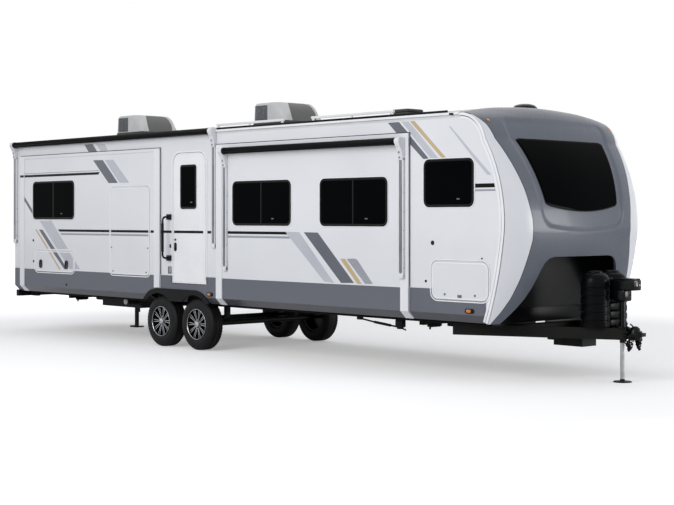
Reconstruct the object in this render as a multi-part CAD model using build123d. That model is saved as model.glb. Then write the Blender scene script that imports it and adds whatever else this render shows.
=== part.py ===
from build123d import *
import os

# Travel trailer on its tongue jack, in millimetres.
# +X points forward to the coupler, -Y is the curb side with the entry door, Z is up from the ground.
# The origin is on the ground, on the centreline, half way between bumper and coupler.

# Body shell. SEAM is the hairline between pieces that seat on each other.
SEAM = 0.3
BODY_REAR = -5676
BODY_HALF = 1219
WALL = 50
WALL_TOP = 2975
EAVE_Z = WALL_TOP + 60
CROWN_Z = EAVE_Z + 105
FLOOR_BOTTOM = 810
FLOOR_THICK = 65
FLOOR_TOP = FLOOR_BOTTOM + FLOOR_THICK

# Lower skirt, bent in under the floor
SKIRT_TOP = 1024
SKIRT_BEND = 745
SKIRT_BOTTOM = 655
SKIRT_TUCK = 92
SKIRT_SHEET = 6
SKIRT_REAR = BODY_REAR
SKIRT_FRONT = 4520

# Front edge of the side walls: (x, z) from the floor to the eave
WALL_FRONT_FOOT = (4600, FLOOR_BOTTOM)
WALL_FRONT_LOW = (4700, 1150)
WALL_FRONT_NOSE = (4792, 1700)
WALL_FRONT_HIGH = (4700, 2350)
WALL_FRONT_SHOULDER = (4520, 2725)
WALL_FRONT_BROW = (4400, 2915)
WALL_FRONT_EAVE = (4180, WALL_TOP)
BROW_EASE = 4
LOW_EASE = 2

# Front cap: its skin stands ahead of the wall edge, more towards the centreline
CAP_SKIN = 40
CAP_LAP = SEAM
CAP_REAR = 4130
# columns: distance in from the side wall, ahead at the nose, ahead at the brow, above the eave
CAP_STATIONS = [
    (0, 0, 0, 0),
    (35, 38, 18, 5),
    (110, 88, 42, 18),
    (260, 132, 64, 43),
    (560, 160, 78, 78),
    (BODY_HALF, 180, 90, CROWN_Z - EAVE_Z),
]

# Shapes on the cap, seen from the front: half widths and heights
MOUTH = [(500, 1400), (620, 1360), (705, 1250), (775, 1050), (920, 820), (1090, SKIRT_BOTTOM - 2)]
PANEL_TOP = (930, 2955)
PANEL_FOOT = (715, 1760)
PANEL_DIP = 1690
PANEL_DEEP = 10
GLASS_TOP = (773, 2726)
GLASS_FOOT = (650, 1990)
GLASS_DIP = 1916
GLASS_THICK = 8

# Dark wall behind the mouth
BULKHEAD_X = 4480
BULKHEAD_THICK = 20
BULKHEAD_TOP = 1420
SHELF_FRONT = 4840

# Chassis
RAIL_Y = BODY_HALF - 319
RAIL_HIGH = 203
RAIL_WIDE = 76
RAIL_WEB = 8
RAIL_FLANGE = 10
RAIL_TOP = FLOOR_BOTTOM
RAIL_BOTTOM = RAIL_TOP - RAIL_HIGH
RAIL_REAR = BODY_REAR + 20
RAIL_FRONT = 4300
CROSS_WIDE = 60
CROSS_X = (-5600, -4400, -3200, -2150, -400, 800, 2000, 3200, 4230)
CROSS_DROP = 40
ARM_TIP = 30
BUMPER_REAR = -5760
BUMPER_DEEP = 80
BUMPER_SIZE = 102
BUMPER_Z = 560

# Running gear
REAR_AXLE_X = -1670
AXLE_SPACING = 838
AXLE_X = (REAR_AXLE_X, REAR_AXLE_X + AXLE_SPACING)
TYRE_RADIUS = 360
TYRE_WIDE = 222
TYRE_Y = BODY_HALF - 139
TYRE_SIDES = 64
RIM_SIDES = 48
SPOKES = 10
BEAD_RADIUS = 205
AXLE_RADIUS = 38
SPINDLE_RADIUS = 22
RUNNING_GAP = 0.3
ARCH_RADIUS = 405
FENDER_BAND = 70
FENDER_THICK = 16

# A-frame, coupler and jack
TONGUE_SPREAD = RAIL_Y
TONGUE_REAR_X = 3740
TONGUE_TIP_X = 5560
TONGUE_TIP_Y = 52
TONGUE_HIGH = 127
TONGUE_WIDE = 64
TONGUE_CROSS_AHEAD = 560
TONGUE_CROSS_WIDE = 70
TONGUE_BOTTOM = RAIL_BOTTOM - TONGUE_HIGH
TONGUE_TOP = RAIL_BOTTOM
TONGUE_BOX = (4600, 5010, 130, 110)
BALL_X = TONGUE_TIP_X + 105
BALL_Z = 530
BALL_SOCKET_RADIUS = 29.8
NOSE_X = BALL_X + 95
JACK_X = TONGUE_TIP_X - 90
JACK_TUBE_RADIUS = 35
JACK_TUBE_BOTTOM = 440
JACK_TUBE_TOP = 1100
JACK_LEG_RADIUS = 28
JACK_LEG_LENGTH = 650
JACK_FOOT_RADIUS = 105
JACK_TRAVEL = 400

# Slide rooms
SLIDE_DEPTH = 950
SLIDE_WALL = 38
SLIDE_RUN_GAP = 10
FLANGE_WIDE = 128
FLANGE_TOP = 2830
FLANGE_HEAD = 45
FACE_GAP = 0.3
FACE_THICK = 18
FLANGE_PROUD = 12
# columns: name, side, rear edge of the flange, front edge of the flange
SLIDES = {
    "rear_slide": (-1, -5479, -1624),
    "mid_slide": (-1, -311, 3338),
    "road_slide": (1, -311, 3338),
}

# Windows: corner radius, thickness of the glazed unit and how far it stands proud
PANE_RADIUS = 75
PANE_THICK = 30
PANE_PROUD = 5
# columns: side, rear edge, front edge, sill, head
WALL_WINDOWS = [
    (-1, 3574, 4340, 1966, 2506),
    (1, 3574, 4340, 1966, 2506),
    (1, -5100, -3890, 1820, 2410),
    (1, -2700, -1950, 1966, 2506),
]
SLIDE_WINDOWS = {
    "rear_slide": [(-5080, -3865, 1820, 2410)],
    "mid_slide": [(48, 1235, 1741, 2320), (1796, 2988, 1741, 2320)],
    "road_slide": [(48, 1235, 1741, 2320), (1796, 2988, 1741, 2320)],
}

# Entry door
DOOR_REAR = -1331
DOOR_FRONT = -568
DOOR_SILL = 932
DOOR_HEAD = WALL_TOP - 225
DOOR_ARCH = 160
DOOR_THICK = 45
DOOR_GAP = 6
HINGE_OFF_DOOR = 9
DOOR_HINGE_Y = BODY_HALF + HINGE_OFF_DOOR
DOOR_PANE = (DOOR_REAR + 186, DOOR_FRONT - 214, DOOR_HEAD - 782, DOOR_HEAD - 178)

# Grab handle beside the door
HANDLE_X = -1400
HANDLE_Z = (1270, 1850)
HANDLE_REACH = 130
HANDLE_BEND = 50
HANDLE_RADIUS = 15

# Outdoor kitchen door and lower hatch in the rear slide, baggage doors in the walls
# columns: rear edge, front edge, bottom, top, corner radius
KITCHEN_DOOR = (-2879, -1871, 1000, 2294, 70)
LOWER_HATCH = (-5022, -3873, 985, 1325, 80)
BAGGAGE_DOOR = (3694, 4560, 905, 1345, 90)
HATCH_THICK = 40
HINGE_OFF_HATCH = 6
HATCH_GAP = 4

# Roof equipment
AC_X = (-3670, -250)
AC_LONG = 700
AC_WIDE = 720
AC_HIGH = 325
AC_SHOULDER = 55
VENT_PLACE = (3810, 300)
VENT_SIZE = 320
ROOF_BOX = (2330, 2650, -550, -230)
ROOF_BOX_HIGH = 80
ROOF_RAIL_Y = -1000
ROOF_RAIL_HIGH = 70
ROOF_RAIL_THICK = 38
ROOF_RAILS = ((-600, 820), (1370, 2860))
GUTTER = (22, 26)

# Awnings
AWNING_TUBE = 46
REAR_AWNING_Z = 3020
REAR_AWNING_ENDS = (-5590, -400)
MID_AWNING_Z = 2735
MID_AWNING_ENDS = (-60, 3215)
ARM_WIDE = 76
ARM_DEEP = 44

# Propane cover
BOTTLE_RADIUS = 168
BOTTLE_PITCH = 320
BOTTLE_X = TONGUE_TIP_X - 345
BOTTLE_TOP = 1250
BOTTLE_SIDES = 32

# Holding tank between the chassis rails
TANK_X = (-3900, -2850)
TANK_TO_RAIL = 200
TANK_BOTTOM = 470
TANK_RISE = 40

# Tail lights and the feet of the awning arms
TAIL_LIGHT_Z = (1080, 1380)
TAIL_LIGHT_INSET = 139
REAR_AWNING_FOOT = 1430
MID_AWNING_FOOT = 1130

# Stabilizer legs: pivot height, length and foot
LEG_PIVOT_Z = RAIL_BOTTOM - 45
LEG_SOLE = 8
LEG_LENGTH = LEG_PIVOT_Z - LEG_SOLE
LEG_WIDE = 50
LEG_LUG = 10
PIN_RADIUS = 8
LEG_FOOT = 200
LEG_X = {"rear": -4900, "front": 3000}
LEG_FOLD_GAP = 172
LEG_Y = LEG_LENGTH + LEG_FOLD_GAP / 2


def slab(x0, x1, y0, y1, z0, z1):
    """A plain block between two corners."""
    low = (min(x0, x1), min(y0, y1), min(z0, z1))
    size = (abs(x1 - x0), abs(y1 - y0), abs(z1 - z0))
    return Pos(*low) * Box(*size, align=(Align.MIN, Align.MIN, Align.MIN))


def rounded(x0, x1, z0, z1, radius, y0, y1):
    """A block across Y whose outline in X and Z has rounded corners."""
    outline = Plane.XZ * Pos((x0 + x1) / 2, (z0 + z1) / 2) * RectangleRounded(x1 - x0, z1 - z0, radius)
    return Pos(0, max(y0, y1), 0) * extrude(outline, abs(y1 - y0))


def side_prism(edges, y0, y1):
    """A solid across Y from edges drawn in the XZ plane."""
    face = make_face(Plane.XZ * Wire(edges))
    return Pos(0, max(y0, y1), 0) * extrude(face, abs(y1 - y0), dir=(0, -1, 0))


def along_x(points, x0, x1):
    """A solid along X from (y, z) corners."""
    face = make_face(Plane.YZ * Polyline(*points, close=True))
    return Pos(x0, 0, 0) * extrude(face, x1 - x0, dir=(1, 0, 0))


def rod(start, end, radius):
    """A round bar between two points."""
    path = Vector(*end) - Vector(*start)
    plane = Plane(origin=start, z_dir=path)
    return extrude(plane * Circle(radius), path.length)


def outward(side, depth):
    """The Y of a plane that lies depth outside the wall skin on one side."""
    return side * (BODY_HALF + depth)


def arch_cut(side):
    """The double wheel arch, cut through everything at the side of the body."""
    y0 = outward(side, 60)
    y1 = outward(side, -330)
    cuts = [Pos(x, 0, TYRE_RADIUS) * Rot(90, 0, 0) * Cylinder(ARCH_RADIUS, 4000) for x in AXLE_X]
    band = slab(BODY_REAR, 0, y0, y1, 0, FLOOR_BOTTOM)
    return [cut & band for cut in cuts]


def wall_outline(inset):
    """Edges of a side wall in X and Z, with its curved front edge."""
    foot, low, nose, high, shoulder, brow, eave = [
        (x - inset, z)
        for x, z in (
            WALL_FRONT_FOOT, WALL_FRONT_LOW, WALL_FRONT_NOSE, WALL_FRONT_HIGH,
            WALL_FRONT_SHOULDER, WALL_FRONT_BROW, WALL_FRONT_EAVE,
        )
    ]
    brow = (brow[0] - BROW_EASE, brow[1] - BROW_EASE)
    low = (low[0] - LOW_EASE, low[1])
    start = (BODY_REAR, FLOOR_BOTTOM)
    corner = (BODY_REAR, WALL_TOP)
    return [
        Line(start, foot),
        ThreePointArc(foot, low, nose),
        ThreePointArc(nose, high, shoulder),
        ThreePointArc(shoulder, brow, eave),
        Line(eave, corner),
        Line(corner, start),
    ]


def slide_opening(name):
    """The hole in the side wall that a slide room runs through."""
    side, rear, front = SLIDES[name]
    lap = FLANGE_WIDE / 2
    return rear + lap, front - lap, FLOOR_TOP + 2, FLANGE_TOP - lap


def side_wall(side):
    y0 = outward(side, 0)
    y1 = outward(side, -WALL)
    wall = side_prism(wall_outline(CAP_SKIN + CAP_LAP), y0, y1)
    for name, (slide_side, *_) in SLIDES.items():
        if slide_side == side:
            x0, x1, z0, z1 = slide_opening(name)
            wall -= slab(x0, x1, outward(side, 5), outward(side, -WALL - 5), z0, z1)
    for window_side, x0, x1, z0, z1 in WALL_WINDOWS:
        if window_side == side:
            wall -= rounded(x0, x1, z0, z1, PANE_RADIUS, outward(side, 5), outward(side, -WALL - 5))
    x0, x1, z0, z1, radius = BAGGAGE_DOOR
    wall -= rounded(x0, x1, z0, z1, radius, outward(side, 5), outward(side, -WALL - 5))
    if side < 0:
        wall -= door_blank(0, outward(side, 5), outward(side, -WALL - 5))
    return wall


def door_blank(gap, y0, y1):
    """The entry door's outline, with arched top corners."""
    x0, x1 = DOOR_REAR + gap, DOOR_FRONT - gap
    z0, z1 = DOOR_SILL + gap, DOOR_HEAD - gap
    face = Plane.XZ * Pos((x0 + x1) / 2, (z0 + z1) / 2) * Rectangle(x1 - x0, z1 - z0)
    tops = face.vertices().sort_by(Axis.Z)[-2:]
    face = fillet(tops, DOOR_ARCH)
    return Pos(0, max(y0, y1), 0) * extrude(face, abs(y1 - y0))


def entry_door():
    outer = -BODY_HALF
    door = door_blank(DOOR_GAP, outer, outer + DOOR_THICK)
    x0, x1, z0, z1 = DOOR_PANE
    door -= rounded(x0, x1, z0, z1, PANE_RADIUS / 2, outer - 5, outer + DOOR_THICK + 5)
    low, high = DOOR_SILL + 60, DOOR_HEAD - DOOR_ARCH - 20
    door += slab(DOOR_FRONT - 34, DOOR_FRONT - 1, outer, outer - 5, low, high)
    door += rod((DOOR_FRONT, -DOOR_HINGE_Y, low), (DOOR_FRONT, -DOOR_HINGE_Y, high), HINGE_OFF_DOOR - SEAM)
    return door


def pane(side, x0, x1, z0, z1, radius, base):
    """A glazed unit that fills a cut window. base is how far the wall skin stands out."""
    gap = SEAM
    outer = outward(side, base + PANE_PROUD)
    inner = outward(side, base + PANE_PROUD - PANE_THICK)
    return rounded(x0 + gap, x1 - gap, z0 + gap, z1 - gap, radius - gap, outer, inner)


def body_windows():
    return [pane(side, x0, x1, z0, z1, PANE_RADIUS, 0) for side, x0, x1, z0, z1 in WALL_WINDOWS]


def skirt_profile(side, outer, thick, top):
    """Corners in Y and Z of the bent lower panel."""
    face = BODY_HALF + outer
    inner = face - thick
    return [
        (side * face, top),
        (side * face, SKIRT_BEND),
        (side * (face - SKIRT_TUCK), SKIRT_BOTTOM),
        (side * (inner - SKIRT_TUCK), SKIRT_BOTTOM + thick / 2),
        (side * inner, SKIRT_BEND + thick / 2),
        (side * inner, top),
    ]


def skirt(side):
    """Sheet panels between the slide rooms, with the wheel arches and door cut out."""
    spans = [(SKIRT_REAR, SLIDES["rear_slide"][1] - 4)] if side < 0 else []
    if side < 0:
        spans += [(SLIDES["rear_slide"][2] + 4, SLIDES["mid_slide"][1] - 4)]
        spans += [(SLIDES["mid_slide"][2] + 4, SKIRT_FRONT)]
    else:
        spans += [(SKIRT_REAR, SLIDES["road_slide"][1] - 4), (SLIDES["road_slide"][2] + 4, SKIRT_FRONT)]
    profile = skirt_profile(side, SKIRT_SHEET, SKIRT_SHEET, SKIRT_TOP)
    panels = []
    for x0, x1 in spans:
        panel = along_x(profile, x0, x1)
        for cut in arch_cut(side):
            panel -= cut
        if side < 0:
            panel -= slab(DOOR_REAR - 8, DOOR_FRONT + 16, outward(side, 40), outward(side, -40), DOOR_SILL - 8, 1200)
        x2, x3, z2, z3, radius = BAGGAGE_DOOR
        panel -= rounded(x2 - 4, x3 + 4, z2 - 4, z3 + 4, radius + 4, outward(side, 40), outward(side, -40))
        panels += panel.solids()
    return panels


def fender(side):
    """One plate with a flat top that drops round both wheels and dips between them."""
    outer = outward(side, SKIRT_SHEET + FENDER_THICK)
    inner = outward(side, SKIRT_SHEET)
    radius = ARCH_RADIUS + FENDER_BAND
    y0, y1 = sorted((outer, inner))
    discs = [Pos(x, 0, TYRE_RADIUS) * Rot(90, 0, 0) * Cylinder(radius, 4000) for x in AXLE_X]
    web = slab(AXLE_X[0], AXLE_X[1], -2000, 2000, TYRE_RADIUS, TYRE_RADIUS + radius)
    shape = (discs[0] + discs[1] + web) & slab(BODY_REAR, 0, y0, y1, SKIRT_BOTTOM + 6, 2000)
    for x in AXLE_X:
        shape -= Pos(x, 0, TYRE_RADIUS) * Rot(90, 0, 0) * Cylinder(ARCH_RADIUS, 4000)
    return shape.solids()


def roof():
    """Bowed roof over the walls."""
    start, end = (-BODY_HALF, EAVE_Z), (BODY_HALF, EAVE_Z)
    edges = [
        Line((-BODY_HALF, WALL_TOP), start),
        ThreePointArc(start, (0, CROWN_Z), end),
        Line(end, (BODY_HALF, WALL_TOP)),
        Line((BODY_HALF, WALL_TOP), (-BODY_HALF, WALL_TOP)),
    ]
    face = make_face(Plane.YZ * Wire(edges))
    return Pos(BODY_REAR, 0, 0) * extrude(face, CAP_REAR - BODY_REAR, dir=(1, 0, 0))


def roof_height(y):
    """Height of the crowned roof at one distance from the centreline."""
    return CROWN_Z - (CROWN_Z - EAVE_Z) * (y / BODY_HALF) ** 2


def cap_section(station, grow, skin):
    """Closed XZ outline of a skin that stands grow outside the cap's own, at one station."""
    _, nose_ahead, brow_ahead, rise = station
    mid_ahead = (nose_ahead + brow_ahead) / 2
    edge_foot = (WALL_FRONT_FOOT[0] - 45, SKIRT_BOTTOM)
    # columns: point of the wall edge, how far ahead of it, how far above it
    rows = [
        ((CAP_REAR, EAVE_Z), 0, rise),
        (WALL_FRONT_BROW, brow_ahead * 0.6, rise * 0.8 + 20),
        (WALL_FRONT_SHOULDER, brow_ahead, 0),
        (WALL_FRONT_HIGH, mid_ahead, 0),
        (WALL_FRONT_NOSE, nose_ahead, 0),
        (WALL_FRONT_LOW, nose_ahead * 0.9, 0),
        (edge_foot, nose_ahead * 0.4, 0),
    ]
    outer = [(x + ahead + grow, z + lift) for (x, z), ahead, lift in rows]
    inner = [(x - skin, z) for x, z in outer]
    outer[0] = (CAP_REAR, outer[0][1] + grow)
    inner[0] = (CAP_REAR, outer[0][1] - skin)
    inner[1] = (outer[1][0] - skin * 0.7, outer[1][1] - skin * 0.7)
    edges = [ThreePointArc(*outer[i:i + 3]) for i in (0, 2, 4)]
    edges.append(Line(outer[6], inner[6]))
    edges += [ThreePointArc(inner[i + 2], inner[i + 1], inner[i]) for i in (4, 2, 0)]
    edges.append(Line(inner[0], outer[0]))
    return edges


def cap_skin(grow, skin):
    """A skin lofted across the body through the cap's stations."""
    places = [(-(BODY_HALF - s[0]), s) for s in CAP_STATIONS]
    places += [(BODY_HALF - s[0], s) for s in CAP_STATIONS[-2::-1]]
    faces = []
    for y, station in places:
        face = make_face(Wire(cap_section(station, grow, skin)))
        faces.append(Plane(origin=(0, y, 0), x_dir=(1, 0, 0), z_dir=(0, -1, 0)) * face)
    return loft(faces, ruled=True)


def front_prism(half_outline):
    """A prism along X through the cap, from the (half width, height) corners of one side."""
    points = [(-y, z) for y, z in half_outline] + [(y, z) for y, z in reversed(half_outline)]
    return along_x(points, CAP_REAR - 100, CAP_REAR + 1200)


def panel_prism(top, foot, dip):
    """A prism along X with straight sides and a bowed lower edge."""
    edges = [
        Line((-top[0], top[1]), (-foot[0], foot[1])),
        ThreePointArc((-foot[0], foot[1]), (0, dip), foot),
        Line(foot, top),
        Line(top, (-top[0], top[1])),
    ]
    face = make_face(Plane.YZ * Wire(edges))
    return Pos(CAP_REAR + 50, 0, 0) * extrude(face, 1200, dir=(1, 0, 0))


def front_cap():
    """Moulded cap with its sunk front panel and the mouth over the tongue."""
    panel = cap_skin(PANEL_DEEP, 2 * PANEL_DEEP) & panel_prism(PANEL_TOP, PANEL_FOOT, PANEL_DIP)
    below = [(MOUTH[-1][0], SKIRT_BOTTOM - 100)]
    return cap_skin(0, CAP_SKIN) - panel - front_prism(MOUTH + below)


def cap_glass():
    """Dark glazed panel that lies in the sunk panel of the cap."""
    grow = GLASS_THICK + SEAM - PANEL_DEEP
    return cap_skin(grow, GLASS_THICK) & panel_prism(GLASS_TOP, GLASS_FOOT, GLASS_DIP)


def front_bulkhead():
    """Dark moulded wall behind the mouth, with a shelf under the nose."""
    half = BODY_HALF - WALL - 20
    x = BULKHEAD_X
    back = slab(x, x + BULKHEAD_THICK, -half, half, FLOOR_BOTTOM, BULKHEAD_TOP)
    shelf = slab(x, SHELF_FRONT, -MOUTH[3][0], MOUTH[3][0], BULKHEAD_TOP - BULKHEAD_THICK, BULKHEAD_TOP)
    return back + shelf


def rear_wall():
    half = BODY_HALF - WALL
    return slab(BODY_REAR, BODY_REAR + WALL, -half, half, FLOOR_BOTTOM, WALL_TOP)


def floor_deck():
    half = BODY_HALF - WALL
    return slab(BODY_REAR + WALL, BULKHEAD_X, -half, half, FLOOR_BOTTOM, FLOOR_TOP)


def main_rails():
    """Two I-section rails."""
    rails = []
    for y in (-RAIL_Y, RAIL_Y):
        half, web = RAIL_WIDE / 2, RAIL_WEB / 2
        section = [
            (y - half, RAIL_BOTTOM), (y + half, RAIL_BOTTOM), (y + half, RAIL_BOTTOM + RAIL_FLANGE),
            (y + web, RAIL_BOTTOM + RAIL_FLANGE), (y + web, RAIL_TOP - RAIL_FLANGE), (y + half, RAIL_TOP - RAIL_FLANGE),
            (y + half, RAIL_TOP), (y - half, RAIL_TOP), (y - half, RAIL_TOP - RAIL_FLANGE),
            (y - web, RAIL_TOP - RAIL_FLANGE), (y - web, RAIL_BOTTOM + RAIL_FLANGE), (y - half, RAIL_BOTTOM + RAIL_FLANGE),
        ]
        rails.append(along_x(section, RAIL_REAR, RAIL_FRONT))
    return rails


def cross_members():
    """Channels between the rails, tapered arms out to the walls and the beams over the swing legs."""
    pieces = []
    web = RAIL_Y - RAIL_WEB / 2
    low, high = RAIL_BOTTOM + CROSS_DROP, RAIL_TOP - RAIL_FLANGE
    for x in CROSS_X:
        pieces.append(slab(x, x + CROSS_WIDE, -web, web, low, high))
        for side in (-1, 1):
            root = side * (RAIL_Y + RAIL_WIDE / 2)
            tip = side * (BODY_HALF - WALL - 1)
            section = [(root, RAIL_TOP), (tip, RAIL_TOP), (tip, RAIL_TOP - ARM_TIP), (root, RAIL_BOTTOM + ARM_TIP)]
            pieces.append(along_x(section, x, x + CROSS_WIDE))
    for x in LEG_X.values():
        pieces.append(slab(x - 45, x + 45, -web, web, low, low + CROSS_DROP))
    return pieces


def leg_lugs():
    """A pair of pin lugs under its beam for each swing leg."""
    pieces = []
    for x in LEG_X.values():
        for y in (-LEG_Y, LEG_Y):
            for lug in (-1, 1):
                inner = x + lug * (LEG_WIDE / 2 + RUNNING_GAP)
                plate = slab(inner, inner + lug * LEG_LUG, y - 30, y + 30, LEG_PIVOT_Z - 25, RAIL_BOTTOM + CROSS_DROP)
                pieces.append(plate - Pos(x, y, LEG_PIVOT_Z) * Rot(0, 90, 0) * Cylinder(PIN_RADIUS + RUNNING_GAP, 200))
    return pieces


def bumper():
    half = BODY_HALF - 69
    tube = slab(BUMPER_REAR, BUMPER_REAR + BUMPER_DEEP, -half, half, BUMPER_Z, BUMPER_Z + BUMPER_SIZE)
    for y in (-RAIL_Y, RAIL_Y):
        tube += slab(BUMPER_REAR + BUMPER_DEEP, BODY_REAR + 200, y - 30, y + 30, BUMPER_Z, RAIL_BOTTOM)
    return tube


def tongue_line_y(x):
    """Distance of an A-frame rail's middle line from the centreline."""
    share = (x - TONGUE_REAR_X) / (TONGUE_TIP_X - TONGUE_REAR_X)
    return TONGUE_SPREAD + (TONGUE_TIP_Y - TONGUE_SPREAD) * share


def a_frame():
    rails = []
    for side in (-1, 1):
        start = Vector(TONGUE_REAR_X, side * TONGUE_SPREAD, TONGUE_BOTTOM)
        end = Vector(TONGUE_TIP_X, side * TONGUE_TIP_Y, TONGUE_BOTTOM)
        run = end - start
        plane = Plane(origin=start, x_dir=run, z_dir=(0, 0, 1))
        rail = extrude(plane * Pos(run.length / 2, 0) * Rectangle(run.length, TONGUE_WIDE), TONGUE_HIGH)
        rails.append(rail)
    frame = rails[0] + rails[1]
    for back, ahead, half in ((500, 200, 230), (200, 0, 120)):
        frame += slab(TONGUE_TIP_X - back, TONGUE_TIP_X - ahead, -half, half, TONGUE_TOP - 10, TONGUE_TOP)
    x = TONGUE_REAR_X + TONGUE_CROSS_AHEAD
    half = tongue_line_y(x + TONGUE_CROSS_WIDE / 2)
    frame += slab(x, x + TONGUE_CROSS_WIDE, -half, half, TONGUE_BOTTOM, TONGUE_TOP)
    x0, x1, half, deep = TONGUE_BOX
    frame += slab(x0, x1, -half, half, TONGUE_BOTTOM - deep, TONGUE_BOTTOM)
    strap = (x0 + x1) / 2
    frame += slab(strap - 40, strap + 40, -TONGUE_SPREAD / 2, TONGUE_SPREAD / 2, TONGUE_BOTTOM - 20, TONGUE_BOTTOM)
    frame -= Pos(JACK_X, 0, TONGUE_TOP) * Cylinder(JACK_TUBE_RADIUS + RUNNING_GAP, 600)
    return frame


def coupler():
    body = slab(TONGUE_TIP_X, BALL_X, -50, 50, BALL_Z - 20, BALL_Z + 50)
    body += Pos(BALL_X, 0, BALL_Z + 15) * Cylinder(58, 70)
    body += slab(BALL_X, NOSE_X, -34, 34, BALL_Z - 5, BALL_Z + 35)
    body -= Pos(BALL_X, 0, BALL_Z - 20) * Cylinder(BALL_SOCKET_RADIUS, 70)
    body += slab(TONGUE_TIP_X, BALL_X - 60, -30, 30, BALL_Z + 50, TONGUE_TOP)
    return body


def jack_body():
    tube = Pos(JACK_X, 0, JACK_TUBE_BOTTOM) * Cylinder(
        JACK_TUBE_RADIUS, JACK_TUBE_TOP - JACK_TUBE_BOTTOM, align=(Align.CENTER, Align.CENTER, Align.MIN)
    )
    tube += slab(JACK_X - 90, JACK_X + 90, -85, 85, 900, 1090)
    tube += slab(JACK_X - 60, JACK_X + 230, -75, 75, 1040, 1165)
    tube += Pos(JACK_X, 0, TONGUE_TOP + 8) * Cylinder(80, 16)
    tube -= Pos(JACK_X, 0, JACK_TUBE_BOTTOM - 10) * Cylinder(
        JACK_LEG_RADIUS + RUNNING_GAP, JACK_LEG_LENGTH + JACK_TRAVEL + 20 - JACK_TUBE_BOTTOM + 10,
        align=(Align.CENTER, Align.CENTER, Align.MIN),
    )
    return tube


def jack_leg():
    upright = (Align.CENTER, Align.CENTER, Align.MIN)
    leg = Pos(JACK_X, 0, 0) * Cylinder(JACK_LEG_RADIUS, JACK_LEG_LENGTH, align=upright)
    leg += Pos(JACK_X, 0, 0) * Cylinder(JACK_FOOT_RADIUS, 12, align=upright)
    return leg


def propane_cover():
    """Twin-bottle cover with coned shoulders."""
    rows = [(BOTTLE_RADIUS, TONGUE_TOP), (BOTTLE_RADIUS, BOTTLE_TOP - 130), (BOTTLE_RADIUS - 30, BOTTLE_TOP - 50),
            (BOTTLE_RADIUS - 90, BOTTLE_TOP)]
    cover = slab(BOTTLE_X - 145, BOTTLE_X + 145, -BOTTLE_PITCH / 2, BOTTLE_PITCH / 2, TONGUE_TOP, BOTTLE_TOP - 110)
    for y in (-BOTTLE_PITCH / 2, BOTTLE_PITCH / 2):
        cover += Pos(BOTTLE_X, y, 0) * ring_of_flats(rows, BOTTLE_SIDES)
    return cover


def ring_of_flats(rows, sides):
    """A closed drum through (radius, height) rows, with flats round it."""
    sections = [Pos(0, 0, height) * RegularPolygon(radius, sides) for radius, height in rows]
    return loft(sections, ruled=True)


def tyre():
    """Tread, rounded shoulders and sidewalls, drawn about Z with the outer side up."""
    half = TYRE_WIDE / 2
    r = TYRE_RADIUS
    rows = [
        (r - 142, -half + 12), (r - 112, -half), (r - 62, -half), (r - 22, -half + 16), (r - 5, -half + 34), (r, -half + 56),
    ]
    rows += [(radius, -height) for radius, height in reversed(rows)]
    core = ring_of_flats([(BEAD_RADIUS, -half), (BEAD_RADIUS, half)], TYRE_SIDES)
    return ring_of_flats(rows, TYRE_SIDES) - core


def rim():
    """Barrel, ten tapered spokes and hub, drawn about Z with the outer side up."""
    half = TYRE_WIDE / 2 - 12
    seat = BEAD_RADIUS - RUNNING_GAP
    wall = 12
    barrel = ring_of_flats([(seat, -half), (seat, half)], RIM_SIDES)
    barrel -= ring_of_flats([(seat - wall, -half - 5), (seat - wall, half + 5)], RIM_SIDES)
    face = half - 12
    wheel = barrel + ring_of_flats([(62, face - 60), (62, face - 8), (40, face + 4)], RIM_SIDES // 2)
    for i in range(SPOKES):
        spoke = loft([
            Plane(origin=(50, 0, face - 28), x_dir=(0, 1, 0), z_dir=(1, 0, 0)) * Rectangle(22, 40),
            Plane(origin=(seat - 6, 0, face - 20), x_dir=(0, 1, 0), z_dir=(1, 0, 0)) * Rectangle(34, 30),
        ])
        wheel += Rot(0, 0, i * 360 / SPOKES) * spoke
    drum = ring_of_flats([(150, -half + 10), (150, -half + 70), (60, -half + 78)], RIM_SIDES // 2)
    stem = ring_of_flats([(60, -half + 60), (60, face - 50)], RIM_SIDES // 2)
    wheel += drum + stem
    bore = Cylinder(SPINDLE_RADIUS + RUNNING_GAP, half + 5, align=(Align.CENTER, Align.CENTER, Align.MIN))
    return wheel - Pos(0, 0, -half - 20) * bore


def wheel_place(side, x):
    """Turns a wheel drawn about Z, outer side up, to its axle end."""
    return Pos(x, side * TYRE_Y, TYRE_RADIUS) * Rot(-90 * side, 0, 0)


def axles():
    bars = []
    reach = TYRE_Y - 90
    for x in AXLE_X:
        bar = rod((x, -reach + 60, TYRE_RADIUS), (x, reach - 60, TYRE_RADIUS), AXLE_RADIUS)
        bar += rod((x, -reach - 70, TYRE_RADIUS), (x, reach + 70, TYRE_RADIUS), SPINDLE_RADIUS)
        bars += bar.solids()
    return bars


def suspension():
    """Leaf packs on the axle tubes, hangers under the rails and the equalizer between."""
    pieces = []
    mid = sum(AXLE_X) / 2
    for side in (-1, 1):
        y = side * RAIL_Y
        y0, y1 = y - 22, y + 22
        group = None
        for x in AXLE_X:
            edges = [
                ThreePointArc((x - 330, 500), (x, 440), (x + 330, 500)),
                Line((x + 330, 500), (x + 330, 470)),
                ThreePointArc((x + 330, 470), (x, TYRE_RADIUS + AXLE_RADIUS), (x - 330, 470)),
                Line((x - 330, 470), (x - 330, 500)),
            ]
            leaf = side_prism(edges, y0, y1)
            group = leaf if group is None else group + leaf
        for x in (AXLE_X[0] - 330, mid, AXLE_X[1] + 330):
            group += slab(x - 35, x + 35, y0 - 8, y1 + 8, 470, RAIL_BOTTOM)
        group += slab(mid - 90, mid + 90, y0, y1, 470, 510)
        pieces += group.solids()
    return pieces


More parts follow.
